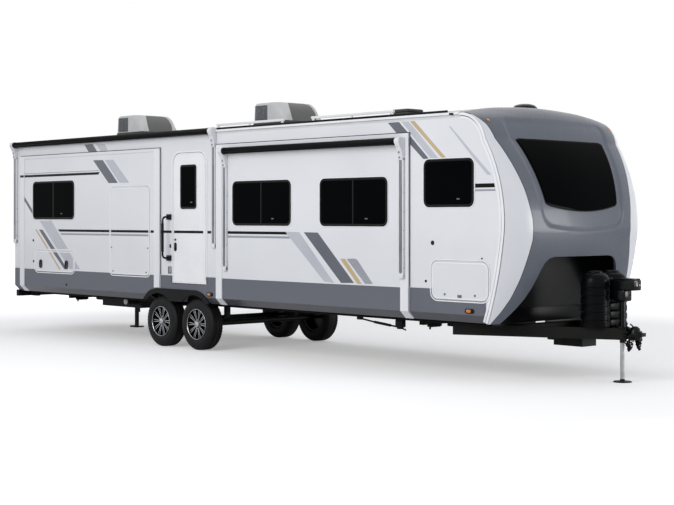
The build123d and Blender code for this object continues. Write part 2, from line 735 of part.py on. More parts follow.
def slide_room(name):
    """Floor, roof and end walls of one slide room."""
    side, _, _ = SLIDES[name]
    x0, x1, z0, z1 = slide_opening(name)
    x0, x1, z0, z1 = x0 + SLIDE_RUN_GAP, x1 - SLIDE_RUN_GAP, z0 + SLIDE_RUN_GAP, z1 - SLIDE_RUN_GAP
    y_out = outward(side, FACE_GAP)
    y_in = outward(side, -SLIDE_DEPTH)
    t = SLIDE_WALL
    room = slab(x0, x1, y_out, y_in, z0, z1)
    room -= slab(x0 + t, x1 - t, outward(side, 50), outward(side, -SLIDE_DEPTH - 50), z0 + t, z1 - t)
    return room


def slide_face(name):
    """Outer wall of one slide room with its side flanges and the bent lower panel."""
    side, x0, x1 = SLIDES[name]
    panel = along_x(skirt_profile(side, FACE_GAP + FACE_THICK, FACE_THICK, FLANGE_TOP), x0, x1)
    proud = FACE_GAP + FACE_THICK + FLANGE_PROUD
    post = skirt_profile(side, proud, FLANGE_PROUD + 4, FLANGE_TOP)
    for a, b in ((x0, x0 + FLANGE_WIDE), (x1 - FLANGE_WIDE, x1)):
        panel += along_x(post, a, b)
    panel += slab(x0, x1, outward(side, proud), outward(side, FACE_GAP), FLANGE_TOP - FLANGE_HEAD, FLANGE_TOP)
    ox0, ox1, oz0, oz1 = slide_opening(name)
    gap = SLIDE_RUN_GAP + SLIDE_WALL + SEAM
    panel += slab(
        ox0 + gap, ox1 - gap, outward(side, FACE_GAP), outward(side, FACE_GAP - 30), oz0 + gap, oz1 - gap
    )
    for wx0, wx1, wz0, wz1 in SLIDE_WINDOWS[name]:
        panel -= rounded(wx0, wx1, wz0, wz1, PANE_RADIUS, outward(side, 60), outward(side, -60))
    if name == "rear_slide":
        for hx0, hx1, hz0, hz1, radius in (KITCHEN_DOOR, LOWER_HATCH):
            panel -= rounded(hx0, hx1, hz0, hz1, radius, outward(side, 60), outward(side, -60))
        for x in AXLE_X:
            reach = ARCH_RADIUS + FENDER_BAND + 12
            panel -= Pos(x, 0, TYRE_RADIUS) * Rot(90, 0, 0) * Cylinder(reach, 4000)
    return panel.solids()


def slide_panes(name):
    side = SLIDES[name][0]
    base = FACE_GAP + FACE_THICK
    return [pane(side, x0, x1, z0, z1, PANE_RADIUS, base) for x0, x1, z0, z1 in SLIDE_WINDOWS[name]]


def hatch(side, opening, base):
    """A flush hatch door in a wall. base is how far the skin round it stands out."""
    x0, x1, z0, z1, radius = opening
    g = HATCH_GAP
    outer = outward(side, base + 4)
    inner = outward(side, base + 4 - HATCH_THICK)
    leaf = rounded(x0 + g, x1 - g, z0 + g, z1 - g, radius - g, outer, inner)
    y = outward(side, base + HINGE_OFF_HATCH)
    return leaf + rod((x0 + radius, y, z1), (x1 - radius, y, z1), HINGE_OFF_HATCH - SEAM)


def air_conditioner(x):
    """Shroud with an upright rear, a bowed top and a raked front, its long edges rounded."""
    base = CROWN_Z + SEAM
    rear, front = x - AC_LONG / 2, x + AC_LONG / 2
    top = base + AC_HIGH
    foot, heel = (rear + 30, base), (rear, base + 60)
    crest_rear, crest, crest_front = (rear + 30, top - 22), (x - 40, top), (x + AC_LONG * 0.22, top - 28)
    brow, toe = (x + AC_LONG * 0.42, top - 110), (front, base + 45)
    edges = [
        Line(foot, heel), Line(heel, crest_rear), ThreePointArc(crest_rear, crest, crest_front),
        ThreePointArc(crest_front, brow, toe), Line(toe, (front - 25, base)), Line((front - 25, base), foot),
    ]
    shroud = side_prism(edges, -AC_WIDE / 2, AC_WIDE / 2)
    along = shroud.edges().group_by(Axis.Y)
    rims = [e for group in (along[0], along[-1]) for e in group if e.center().Z > base + AC_HIGH * 0.3]
    return chamfer(rims, AC_SHOULDER / 2)


def roof_fittings():
    """Bedroom vent, low box near the curb side, and the roof's two rails on their posts."""
    x, y = VENT_PLACE
    half = VENT_SIZE / 2
    upright = (Align.CENTER, Align.CENTER, Align.MIN)
    dome = Pos(x, y, roof_height(max(0, y - half)) + SEAM) * Cylinder(half, 90, align=upright)
    pieces = [dome]
    x0, x1, y0, y1 = ROOF_BOX
    seat = roof_height(y1) + SEAM
    pieces.append(slab(x0, x1, y0, y1, seat, seat + ROOF_BOX_HIGH))
    seat = roof_height(ROOF_RAIL_Y + ROOF_RAIL_THICK / 2) + SEAM
    y0, y1 = ROOF_RAIL_Y - ROOF_RAIL_THICK / 2, ROOF_RAIL_Y + ROOF_RAIL_THICK / 2
    for x0, x1 in ROOF_RAILS:
        rail = slab(x0, x1, y0, y1, seat + ROOF_RAIL_HIGH - ROOF_RAIL_THICK, seat + ROOF_RAIL_HIGH)
        for x in (x0 + 30, (x0 + x1) / 2, x1 - 30):
            rail += slab(x - 15, x + 15, y0, y1, seat, seat + ROOF_RAIL_HIGH - ROOF_RAIL_THICK)
        pieces.append(rail)
    return pieces


def gutters():
    """Drip rail along each eave."""
    out, high = GUTTER
    curb_rear = REAR_AWNING_ENDS[1] + ARM_WIDE + 4
    return [
        slab(rear, CAP_REAR, outward(side, 0), outward(side, out), EAVE_Z - high, EAVE_Z)
        for side, rear in ((-1, curb_rear), (1, BODY_REAR))
    ]


def awning(bases, ends, z, arm_foot):
    """Roller tube with its end heads and two arms. bases is how far each arm's seat stands out."""
    tube_y = -(BODY_HALF + max(bases) + AWNING_TUBE + 20)
    tube = rod((ends[0], tube_y, z), (ends[1], tube_y, z), AWNING_TUBE)
    arms = []
    for x, out, base in ((ends[0], -1, bases[0]), (ends[1], 1, bases[1])):
        a, b = sorted((x, x + out * ARM_WIDE))
        wall_y = -(BODY_HALF + base)
        arm = slab(a, b, wall_y, wall_y - ARM_DEEP, arm_foot, z - 60)
        arm += slab(a, b, wall_y, tube_y - AWNING_TUBE - 8, z - 110, z + AWNING_TUBE + 2)
        arms.append(arm)
    return tube, arms


def grab_handle():
    """Entry rail, swung out from its two wall brackets."""
    x, outer, out = HANDLE_X, -BODY_HALF, -BODY_HALF - HANDLE_REACH
    low, high = HANDLE_Z
    bend = HANDLE_BEND
    path = Polyline(
        (x, outer, high), (x, out + bend, high), (x, out, high - bend),
        (x, out, low + bend), (x, out + bend, low), (x, outer, low),
    )
    rail = sweep(Plane(origin=(x, outer, high), z_dir=(0, -1, 0)) * RegularPolygon(HANDLE_RADIUS, 12),
                 path=path, transition=Transition.RIGHT)
    for z in HANDLE_Z:
        rail += slab(x - 40, x + 40, outer, outer - 45, z - 40, z + 40)
    return rail


def tail_lights():
    low, high = TAIL_LIGHT_Z
    middles = (TAIL_LIGHT_INSET - BODY_HALF, BODY_HALF - TAIL_LIGHT_INSET)
    return [slab(BODY_REAR - 24, BODY_REAR, y - 60, y + 60, low, high) for y in middles]


def holding_tank():
    half = RAIL_Y - TANK_TO_RAIL
    return slab(TANK_X[0], TANK_X[1], -half, half, TANK_BOTTOM, RAIL_BOTTOM + TANK_RISE)


def stabilizer(end, side, down):
    """One swing leg. It hangs from its lugs under the chassis and folds in towards the centreline."""
    x = LEG_X[end]
    half = LEG_WIDE / 2
    y = side * LEG_Y
    foot = LEG_FOOT / 2
    if down:
        leg = slab(x - half, x + half, y - half, y + half, LEG_SOLE, LEG_PIVOT_Z + half)
        leg += slab(x - foot, x + foot, y - 75, y + 75, 0, LEG_SOLE)
    else:
        end_y = y - side * LEG_LENGTH
        leg = slab(x - half, x + half, y + side * half, end_y, LEG_PIVOT_Z - half, LEG_PIVOT_Z + half)
        leg += slab(x - foot, x + foot, end_y, end_y - side * LEG_SOLE, LEG_PIVOT_Z - 75, LEG_PIVOT_Z + 75)
    reach = half + LEG_LUG + 4
    leg += rod((x - reach, y, LEG_PIVOT_Z), (x + reach, y, LEG_PIVOT_Z), PIN_RADIUS)
    return leg


def build():
    nodes = {
        "main_rails": main_rails(),
        "cross_members": cross_members(),
        "leg_lugs": leg_lugs(),
        "bumper": bumper(),
        "a_frame": a_frame(),
        "coupler": coupler(),
        "jack_body": jack_body(),
        "jack_leg": jack_leg(),
        "propane_cover": propane_cover(),
        "floor_deck": floor_deck(),
        "curb_wall": side_wall(-1),
        "road_wall": side_wall(1),
        "rear_wall": rear_wall(),
        "front_bulkhead": front_bulkhead(),
        "roof": roof(),
        "front_cap": front_cap(),
        "skirts": skirt(-1) + skirt(1),
        "fenders": fender(-1) + fender(1),
        "body_windows": body_windows(),
        "axles": axles(),
        "suspension": suspension(),
        "entry_door": entry_door(),
        "grab_handle": grab_handle(),
        "tail_lights": tail_lights(),
        "holding_tank": holding_tank(),
        "air_conditioners": [air_conditioner(x) for x in AC_X],
        "roof_fittings": roof_fittings(),
        "gutters": gutters(),
        "cap_glass": cap_glass(),
    }
    x0, x1, z0, z1 = DOOR_PANE
    nodes["entry_door_pane"] = pane(-1, x0, x1, z0, z1, PANE_RADIUS / 2, 0)
    for name in SLIDES:
        nodes[name + "_room"] = slide_room(name)
        nodes[name + "_face"] = slide_face(name)
        nodes[name + "_windows"] = slide_panes(name)
    nodes["kitchen_door"] = hatch(-1, KITCHEN_DOOR, FACE_GAP + FACE_THICK)
    nodes["lower_hatch"] = hatch(-1, LOWER_HATCH, FACE_GAP + FACE_THICK)
    nodes["curb_baggage_door"] = hatch(-1, BAGGAGE_DOOR, 0)
    nodes["road_baggage_door"] = hatch(1, BAGGAGE_DOOR, 0)
    tube, arms = awning((0, 0), REAR_AWNING_ENDS, REAR_AWNING_Z, REAR_AWNING_FOOT)
    nodes["rear_awning_tube"] = tube
    nodes["rear_awning_arms"] = arms
    face = FACE_GAP + FACE_THICK
    tube, arms = awning((face, face + FLANGE_PROUD), MID_AWNING_ENDS, MID_AWNING_Z, MID_AWNING_FOOT)
    nodes["mid_awning_tube"] = tube
    nodes["mid_awning_arms"] = arms
    for side, side_name in ((-1, "curb"), (1, "road")):
        for x, end_name in zip(AXLE_X, ("rear", "front")):
            place = wheel_place(side, x)
            nodes[f"{side_name}_{end_name}_tyre"] = place * tyre()
            nodes[f"{side_name}_{end_name}_rim"] = place * rim()
        for end_name in LEG_X:
            down = end_name == "rear" and side > 0
            nodes[f"{side_name}_{end_name}_leg"] = stabilizer(end_name, side, down)
    return nodes


def write(nodes):
    os.makedirs("parts", exist_ok=True)
    for name, shape in nodes.items():
        solids = shape if isinstance(shape, list) else shape.solids()
        body = solids[0] if len(solids) == 1 else Compound(children=list(solids))
        export_step(body, f"parts/{name}.step")


write(build())
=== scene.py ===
# %% [markdown]
# # A travel trailer
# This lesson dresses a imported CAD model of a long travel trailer. The CAD gives every panel its place,
# and the cells below give it the look: gelcoat, painted skirts, vinyl stripes, black glass, tyres and trim.

# %% Frame and tools
from math import atan2, cos, hypot, pi, radians, sin, sqrt

import bpy
from mathutils import Matrix, Vector


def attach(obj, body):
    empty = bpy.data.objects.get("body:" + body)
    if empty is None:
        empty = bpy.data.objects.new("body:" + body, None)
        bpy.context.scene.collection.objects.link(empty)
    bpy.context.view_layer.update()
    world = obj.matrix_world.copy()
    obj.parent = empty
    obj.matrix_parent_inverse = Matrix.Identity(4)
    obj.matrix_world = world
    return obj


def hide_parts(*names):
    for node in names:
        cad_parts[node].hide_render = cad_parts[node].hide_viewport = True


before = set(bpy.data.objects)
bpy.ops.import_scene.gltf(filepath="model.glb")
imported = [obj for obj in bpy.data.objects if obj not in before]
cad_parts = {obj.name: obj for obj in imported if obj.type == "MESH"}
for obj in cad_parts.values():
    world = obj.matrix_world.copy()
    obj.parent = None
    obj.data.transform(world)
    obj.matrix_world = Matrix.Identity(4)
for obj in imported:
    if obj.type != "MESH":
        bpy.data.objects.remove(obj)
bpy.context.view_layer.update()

# %% [markdown]
# ## The camera
# The photo was taken from ahead of the front corner on the entry side, level, 1.8 m above the ground.
# A level camera keeps upright edges upright. The small shift moves the horizon up without tilting.

# %% Camera
camera_data = bpy.data.cameras.new("photo_camera")
camera_data.lens = 75.93
camera_data.sensor_width = 36.0
camera_data.shift_y = -0.0511
camera_data.clip_end = 300.0
camera = bpy.data.objects.new("photo_camera", camera_data)
camera.location = (14.987, -13.134, 1.835)
camera.rotation_euler = (radians(90), 0, radians(47.282))
bpy.context.collection.objects.link(camera)
bpy.context.scene.camera = camera
print("camera at", tuple(round(v, 2) for v in camera.location))

# %% [markdown]
# ## Sizes shared with the CAD
# The side walls stand 1.219 m from the centreline. The slide rooms' faces stand 18 mm proud of them,
# and the flanges round each slide room another 12 mm. Pieces below are seated on these three skins.

# %% Shared sizes, in metres
WALL_SKIN = 1.219
FACE_SKIN = 1.2373
FLANGE_SKIN = 1.2493
SKIRT_SKIN = 1.225
SKIRT_TOP = 1.024
SKIRT_BEND = 0.745
AXLE_X = (-1.67, -0.832)
TYRE_Y = 1.08
TYRE_R = 0.36
MM = 0.001
SIDES = ((-1, "curb"), (1, "road"))

# %% [markdown]
# ## Colours and one function that adds a node
# Colours are written as sRGB hex, as a paint chart gives them, and turned to Blender's linear values.
# A material is a small tree of nodes, and one helper adds any node with its settings and its links.


# %% Colour and node helpers
def colour(hex_code):
    """Linear RGBA of an sRGB hex colour."""
    channels = [int(hex_code[i:i + 2], 16) / 255 for i in (1, 3, 5)]
    linear = [c / 12.92 if c <= 0.04045 else ((c + 0.055) / 1.055) ** 2.4 for c in channels]
    return (*linear, 1.0)


def add_node(tree, kind, inputs=None, **settings):
    """Adds one shader node. inputs maps a socket's name or number to a value or to another node's output."""
    node = tree.nodes.new("ShaderNode" + kind)
    for key, value in settings.items():
        setattr(node, key, value)
    for key, value in (inputs or {}).items():
        if isinstance(value, bpy.types.NodeSocket):
            tree.links.new(value, node.inputs[key])
        else:
            node.inputs[key].default_value = value
    return node


def ramp(tree, fac, stops):
    """A colour ramp on fac, with two (place, hex) stops."""
    node = add_node(tree, "ValToRGB", {"Fac": fac})
    for element, (place, hex_code) in zip(node.color_ramp.elements, stops):
        element.position = place
        element.color = colour(hex_code)
    return node.outputs["Color"]


print("helpers ready")

# %% [markdown]
# ## Finishes
# Each finish starts from the real material. Large surfaces never have one flat value, so a slow noise moves
# the colour a little, and a finer one moves the roughness and gives the grain or the moulded texture as bump.
# The sizes of the two patterns and the depth of the bump are written in millimetres.


# %% The finish function
COAT_ROUGH = 0.05
PLAIN_IOR = 1.5


def finish(name, light, dark, rough, metallic=0.0, cloud_mm=900, grain_mm=6, bump_mm=0.05, coat=0.0,
           stretch=(1, 1, 1), gloss=0.5):
    """A procedural surface on object coordinates. rough is the range of its roughness."""
    material = bpy.data.materials.new(name)
    material.use_nodes = True
    tree = material.node_tree
    shader = tree.nodes["Principled BSDF"]
    place = add_node(tree, "TexCoord").outputs["Object"]
    if stretch != (1, 1, 1):
        place = add_node(tree, "Mapping", {"Vector": place, "Scale": stretch}).outputs["Vector"]
    cloud = add_node(tree, "TexNoise", {"Vector": place, "Scale": 1000 / cloud_mm, "Detail": 5.0})
    grain = add_node(tree, "TexNoise", {"Vector": place, "Scale": 1000 / grain_mm, "Detail": 3.0})
    base = ramp(tree, cloud.outputs["Fac"], [(0.3, light), (0.72, dark)])
    tree.links.new(base, shader.inputs["Base Color"])
    mapped = add_node(tree, "MapRange", {
        "Value": grain.outputs["Fac"], "From Min": 0.3, "From Max": 0.7,
        "To Min": rough[0], "To Max": rough[1],
    })
    tree.links.new(mapped.outputs["Result"], shader.inputs["Roughness"])
    relief = add_node(tree, "Bump", {
        "Height": grain.outputs["Fac"], "Strength": 0.35, "Distance": bump_mm * MM,
    })
    tree.links.new(relief.outputs["Normal"], shader.inputs["Normal"])
    for socket, value in (("Metallic", metallic), ("Coat Weight", coat), ("Coat Roughness", COAT_ROUGH),
                          ("Specular IOR Level", gloss)):
        shader.inputs[socket].default_value = value
    if not metallic:
        shader.inputs["IOR"].default_value = PLAIN_IOR
    return material


def along(material, axis):
    """An output that gives the place along one axis, in metres."""
    place = add_node(material.node_tree, "TexCoord").outputs["Object"]
    return add_node(material.node_tree, "SeparateXYZ", {"Vector": place}).outputs[axis]


def tinted(material, rules):
    """Recolours a finish by rules of (output, comparison, its numbers, hex). The last one that holds wins."""
    tree = material.node_tree
    shader = tree.nodes["Principled BSDF"]
    result = shader.inputs["Base Color"].links[0].from_socket
    for value, operation, numbers, hex_code in rules:
        held = add_node(tree, "Math", {0: value, **dict(enumerate(numbers, 1))}, operation=operation)
        mix = add_node(tree, "Mix", {0: held.outputs["Value"], 6: result, 7: colour(hex_code)},
                       data_type="RGBA")
        result = mix.outputs[2]
    tree.links.new(result, shader.inputs["Base Color"])
    return material


# %% [markdown]
# ### Body finishes
# The walls are gelcoat on laminated board: white with a cool cast, glossy, with the very slight orange peel
# of a laminated sheet. The slide faces are the same sheet, with the painted skirt below and white posts at
# their ends, so rules on height and length recolour them.

# %% Body finishes
GELCOAT = {"light": "#DDDFE3", "dark": "#D5D7DC", "rough": (0.16, 0.24), "cloud_mm": 1400, "grain_mm": 22,
           "bump_mm": 0.12, "coat": 0.4}
SKIRT_UPPER = "#5B5F69"
SKIRT_LOWER = "#45474D"
POST_CENTRES = (-5.415, -1.688, -0.247, 3.274)
POST_HALF = 0.0643
PAINT_GAP = 0.004
gelcoat = finish("gelcoat_white", **GELCOAT)
slide_gelcoat = finish("gelcoat_over_painted_skirt", **GELCOAT)
height, length = along(slide_gelcoat, "Z"), along(slide_gelcoat, "X")
tinted(slide_gelcoat, [(height, "LESS_THAN", (SKIRT_TOP - PAINT_GAP,), SKIRT_UPPER),
                       (height, "LESS_THAN", (SKIRT_BEND,), SKIRT_LOWER)]
       + [(length, "COMPARE", (centre, POST_HALF), "#DFE1E5") for centre in POST_CENTRES])
skirt_paint = finish("painted_skirt_sheet", SKIRT_UPPER, "#555963", (0.3, 0.38), cloud_mm=700, grain_mm=10,
                     coat=0.2)
tinted(skirt_paint, [(along(skirt_paint, "Z"), "LESS_THAN", (SKIRT_BEND,), SKIRT_LOWER)])
roof_membrane = finish("roof_membrane", "#D2D3D4", "#BFC0C0", (0.5, 0.65), cloud_mm=600, grain_mm=3,
                       bump_mm=0.3)
trim_white = finish("white_trim_extrusion", "#EAEBEE", "#E3E4E7", (0.22, 0.3), cloud_mm=400, grain_mm=8)
interior_board = finish("interior_board", "#BDB6AA", "#AFA79A", (0.5, 0.6), cloud_mm=200, grain_mm=2)

# %% [markdown]
# ### Black parts
# Tinted glazing is almost black and very smooth. Moulded black plastic is pebbled at about 1.5 mm. Chassis
# steel has satin black paint with dust in its low spots. Tyre rubber is a dull dark grey, never pure black.

# %% Dark finishes
black_glass = finish("tinted_glass", "#050607", "#030405", (0.03, 0.06), cloud_mm=800, grain_mm=200,
                     bump_mm=0.02, gloss=0.01)
black_moulding = finish("pebbled_black_plastic", "#0F1012", "#0A0B0C", (0.4, 0.55), cloud_mm=120,
                        grain_mm=1.5, bump_mm=0.15, gloss=0.15)
cover_plastic = finish("moulded_cover_plastic", "#08090B", "#050607", (0.24, 0.36), cloud_mm=140, grain_mm=3,
                       bump_mm=0.2, gloss=0.07)
chassis_paint = finish("satin_chassis_paint", "#0B0C0D", "#13120F", (0.4, 0.6), cloud_mm=260, grain_mm=4,
                       bump_mm=0.1, gloss=0.14)
rubber = finish("tyre_rubber", "#111113", "#171718", (0.46, 0.64), cloud_mm=90, grain_mm=1.2, bump_mm=0.12,
                gloss=0.18)
black_gloss = finish("gloss_black_enamel", "#08090B", "#050607", (0.14, 0.24), cloud_mm=100, grain_mm=9,
                     gloss=0.2)
roller_vinyl = finish("rolled_awning_vinyl", "#07080A", "#040506", (0.5, 0.66), cloud_mm=300, grain_mm=2.5,
                      bump_mm=0.2, stretch=(0.12, 1, 1), gloss=0.07)

# %% [markdown]
# ### Metals, lenses and stripes
# The rims are machined aluminium over black pockets, and the jack's leg is zinc plated. The stripes are cut
# from vinyl film with a fine metallic flake. Lamps are red and amber lenses.

# %% Metals, lenses and stripes
machined = finish("machined_aluminium", "#C9CACC", "#B4B5B8", (0.22, 0.34), metallic=1.0, cloud_mm=40,
                  grain_mm=1.0, bump_mm=0.03)
satin_aluminium = finish("satin_aluminium", "#E0E1E5", "#D6D7DB", (0.3, 0.4), metallic=0.1, cloud_mm=300,
                         grain_mm=3, stretch=(1, 1, 0.1), bump_mm=0.05)
# a darker copy of the arm alloy: painted shade on the inner arms inside their channels and on the holes along
# them; the heads' rivets share it
inner_alloy = finish("shaded_inner_alloy", "#83868C", "#74777D", (0.34, 0.46), metallic=0.35, cloud_mm=200,
                     grain_mm=3)
zinc = finish("zinc_plate", "#B9BBBD", "#9FA2A5", (0.25, 0.38), metallic=1.0, cloud_mm=60, grain_mm=4)
red_lens = finish("red_lens", "#A01016", "#7C0A10", (0.08, 0.14), cloud_mm=60, grain_mm=5, coat=0.6)
amber_lens = finish("amber_lens", "#D9831F", "#B8640F", (0.1, 0.16), cloud_mm=40, grain_mm=4, coat=0.6)
STRIPES = {
    "dark": ("#5F636D", "#585C66"),
    "light": ("#BBBEC6", "#B3B6BF"),
    "mid": ("#989BA4", "#90939C"),
    "gold": ("#C2AC84", "#B7A077"),
    "black": ("#08090B", "#060708"),
}
film = {}
for tone, shades in STRIPES.items():
    coat, gloss = (0.05, 0.12) if tone == "black" else (0.3, 0.5)
    film[tone] = finish(tone + "_vinyl_film", *shades, (0.24, 0.32), metallic=0.15, cloud_mm=500,
                        grain_mm=1.5, bump_mm=0.02, coat=coat, gloss=gloss)
shroud_light = finish("light_moulded_shroud", "#B6B6B3", "#ABABA8", (0.45, 0.58), cloud_mm=150, grain_mm=2,
                      bump_mm=0.12)
shroud_dark = finish("dark_moulded_shroud", "#64635F", "#595853", (0.45, 0.6), cloud_mm=150, grain_mm=2,
                     bump_mm=0.12)
print("finishes:", len(bpy.data.materials))

# %% [markdown]
# ## Modelling helpers
# Everything is modelled at its real place in world coordinates. Each helper starts by deselecting all,
# because an edit acts on whatever is selected, and ends with an object that sits at the origin with its place
# in its mesh.


# %% Modelling helpers
def start_clean():
    """Leaves edit mode and deselects everything."""
    if bpy.context.object and bpy.context.object.mode != "OBJECT":
        bpy.ops.object.mode_set(mode="OBJECT")
    bpy.ops.object.select_all(action="DESELECT")


def use(modifier_type, piece, **settings):
    """Adds a modifier and applies it."""
    modifier = piece.modifiers.new(modifier_type.lower(), modifier_type)
    for key, value in settings.items():
        setattr(modifier, key, value)
    bpy.context.view_layer.objects.active = piece
    bpy.ops.object.modifier_apply(modifier=modifier.name)


def soften(piece, width, segments=2, angle=35):
    """Rounds the edges that turn by more than an angle."""
    use("BEVEL", piece, width=width, segments=segments, limit_method="ANGLE", angle_limit=radians(angle))


def settle(piece, name, material, body="trailer", angle=35):
    """Names a piece, or a list joined to one, and hangs it on its body. Its place goes in its mesh."""
    if isinstance(piece, list):
        piece = joined(piece)
    start_clean()
    piece.select_set(True)
    bpy.context.view_layer.objects.active = piece
    bpy.ops.object.transform_apply(location=True, rotation=True, scale=True)
    bpy.ops.object.shade_smooth_by_angle(angle=radians(angle))
    piece.name = name
    if material is not None:
        piece.data.materials.clear()
        piece.data.materials.append(material)
    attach(piece, body)
    return piece


def outline(corners, point):
    """A flat face through corners. point turns a corner's two numbers to a place."""
    start_clean()
    bpy.ops.mesh.primitive_circle_add(vertices=len(corners), fill_type="NGON")
    piece = bpy.context.object
    for vertex, corner in zip(piece.data.vertices, corners):
        vertex.co = point(*corner)
    return piece


def thicken(piece, depth, direction):
    """Gives a flat face a thickness in one direction, closed all round."""
    facing = piece.data.polygons[0].normal.dot(Vector(direction))
    use("SOLIDIFY", piece, thickness=depth, offset=1.0 if facing > 0 else -1.0, use_even_offset=True)


def on_side(side, skin):
    """Turns (x, z) on a side wall to a place on one skin."""
    return lambda x, z: (x, side * skin, z)


def board(corners, side, skin, depth, edge=0.0):
    """A thin board on a side wall, from its (x, z) corners."""
    piece = outline(corners, on_side(side, skin))
    thicken(piece, depth, (0, side, 0))
    if edge:
        soften(piece, edge, 2)
    return piece


def round_corners(x0, x1, z0, z1, radius, steps=6):
    """Corners of a rounded rectangle."""
    corners = []
    for cx, cz, turn in ((x1, z1, 0), (x0, z1, 90), (x0, z0, 180), (x1, z0, 270)):
        mx = cx - radius if turn in (0, 270) else cx + radius
        mz = cz - radius if turn in (0, 90) else cz + radius
        for i in range(steps + 1):
            a = radians(turn + 90 * i / steps)
            corners.append((mx + radius * cos(a), mz + radius * sin(a)))
    return corners


def grown_corners(x0, x1, z0, z1, radius, grow):
    """Corners of a rounded rectangle that is larger all round."""
    return round_corners(x0 - grow, x1 + grow, z0 - grow, z1 + grow, radius + grow)


def frame_ring(corners, side, skin, width, depth, edge):
    """A frame of one width round an outline, made by an inset whose inner face is deleted."""
    piece = outline(corners, on_side(side, skin))
    bpy.ops.object.mode_set(mode="EDIT")
    bpy.ops.mesh.select_all(action="SELECT")
    bpy.ops.mesh.inset(thickness=width)
    bpy.ops.mesh.delete(type="FACE")
    bpy.ops.object.mode_set(mode="OBJECT")
    thicken(piece, depth, (0, side, 0))
    soften(piece, edge)
    return piece


def block(low, high, edge=0.0, segments=2):
    """A box between two corners with rounded edges."""
    start_clean()
    low, high = [[f(a, b) for a, b in zip(low, high)] for f in (min, max)]
    middle = [(a + b) / 2 for a, b in zip(low, high)]
    size = [b - a for a, b in zip(low, high)]
    bpy.ops.mesh.primitive_cube_add(size=1, location=middle, scale=size)
    piece = bpy.context.object
    bpy.ops.object.transform_apply(location=True, rotation=False, scale=True)
    if edge:
        soften(piece, edge, segments)
    return piece


def grid(across, up):
    """A grid mesh with so many points each way, row by row."""
    start_clean()
    bpy.ops.mesh.primitive_grid_add(x_subdivisions=across - 1, y_subdivisions=up - 1)
    return bpy.context.object


def even_normals():
    """Turns the faces of the active mesh the same way."""
    bpy.ops.object.mode_set(mode="EDIT")
    bpy.ops.mesh.select_all(action="SELECT")
    bpy.ops.mesh.normals_make_consistent(inside=False)
    bpy.ops.object.mode_set(mode="OBJECT")


def placed(piece, place, turn=0.0, axis="X"):
    """Turns a piece made at the origin about one axis and moves it, in its mesh."""
    piece.data.transform(Matrix.Translation(place) @ Matrix.Rotation(turn, 4, axis))
    return piece


def joined(pieces):
    """Joins pieces into the first."""
    start_clean()
    for piece in pieces:
        piece.select_set(True)
    bpy.context.view_layer.objects.active = pieces[0]
    bpy.ops.object.join()
    return bpy.context.object


def tube(points, radius, sides=12):
    """A round bar along points, as a mesh."""
    start_clean()
    data = bpy.data.curves.new("path", "CURVE")
    data.dimensions = "3D"
    data.bevel_depth = radius
    data.bevel_resolution = max(1, sides // 4 - 1)
    data.use_fill_caps = True
    line = data.splines.new("POLY")
    line.points.add(len(points) - 1)
    for target, source in zip(line.points, points):
        target.co = (*source, 1)
    piece = bpy.data.objects.new("bar", data)
    bpy.context.collection.objects.link(piece)
    piece.select_set(True)
    bpy.context.view_layer.objects.active = piece
    bpy.ops.object.convert(target="MESH")
    return bpy.context.object


def turned(profile, steps=64):
    """A closed (radius, height) profile spun about Z."""
    start_clean()
    bpy.ops.mesh.primitive_circle_add(vertices=len(profile), fill_type="NOTHING")
    piece = bpy.context.object
    for vertex, (radius, height) in zip(piece.data.vertices, profile):
        vertex.co = (radius, 0, height)
    bpy.ops.object.mode_set(mode="EDIT")
    bpy.ops.mesh.select_all(action="SELECT")
    bpy.ops.mesh.spin(steps=steps, angle=2 * pi, center=(0, 0, 0), axis=(0, 0, 1))
    bpy.ops.mesh.select_all(action="SELECT")
    bpy.ops.mesh.remove_doubles(threshold=0.0001)
    bpy.ops.mesh.normals_make_consistent(inside=False)
    bpy.ops.object.mode_set(mode="OBJECT")
    return piece


def stud(radius, top, shoulder, height, sides):
    """A low round or six-sided head at the origin."""
    return turned([(0, 0), (radius, 0), (top, shoulder), (0, height)], sides)


def copied(piece, matrix):
    """A copy with its own mesh, moved in its mesh."""
    twin = bpy.data.objects.new(piece.name + "_copy", piece.data.copy())
    bpy.context.collection.objects.link(twin)
    twin.data.transform(matrix)
    if matrix.determinant() < 0:
        twin.data.flip_normals()
    return twin


def ribbon(first, second, depth, direction, edge=0.0):
    """A strip between two rows of points, thickened in one direction."""
    count = len(first)
    piece = grid(count, 2)
    for i in range(count):
        piece.data.vertices[i].co = first[i]
        piece.data.vertices[count + i].co = second[i]
    piece.data.update()
    thicken(piece, depth, direction)
    if edge:
        soften(piece, edge, 2, 60)
    return piece


print("modelling helpers ready")

# %% [markdown]
# ## CAD panels get their finishes
# A CAD node whose shape is right stays as it is and only gets a better material in its slots.

# %% Finishes on the CAD nodes
CAD_FINISH = [
    (gelcoat, ("curb_wall", "road_wall", "rear_wall", "kitchen_door", "lower_hatch",
               "curb_baggage_door", "road_baggage_door")),
    (slide_gelcoat, ("rear_slide_face", "mid_slide_face", "road_slide_face")),
    (roof_membrane, ("roof",)),
    (trim_white, ("gutters", "entry_door")),
    (skirt_paint, ("skirts",)),
    (interior_board, ("floor_deck", "rear_slide_room", "mid_slide_room", "road_slide_room")),
    (black_glass, ("body_windows", "entry_door_pane", "rear_slide_windows", "mid_slide_windows",
                   "road_slide_windows")),
    (chassis_paint, ("main_rails", "cross_members", "leg_lugs", "bumper", "a_frame", "coupler", "jack_body",
                     "axles", "suspension", "curb_rear_leg", "curb_front_leg", "road_rear_leg",
                     "road_front_leg")),
    (black_moulding, ("fenders", "holding_tank")),
    (cover_plastic, ("front_bulkhead",)),
    (zinc, ("jack_leg",)),
    (roller_vinyl, ("rear_awning_tube", "mid_awning_tube")),
    (satin_aluminium, ("rear_awning_arms", "mid_awning_arms")),
    (red_lens, ("tail_lights",)),
]
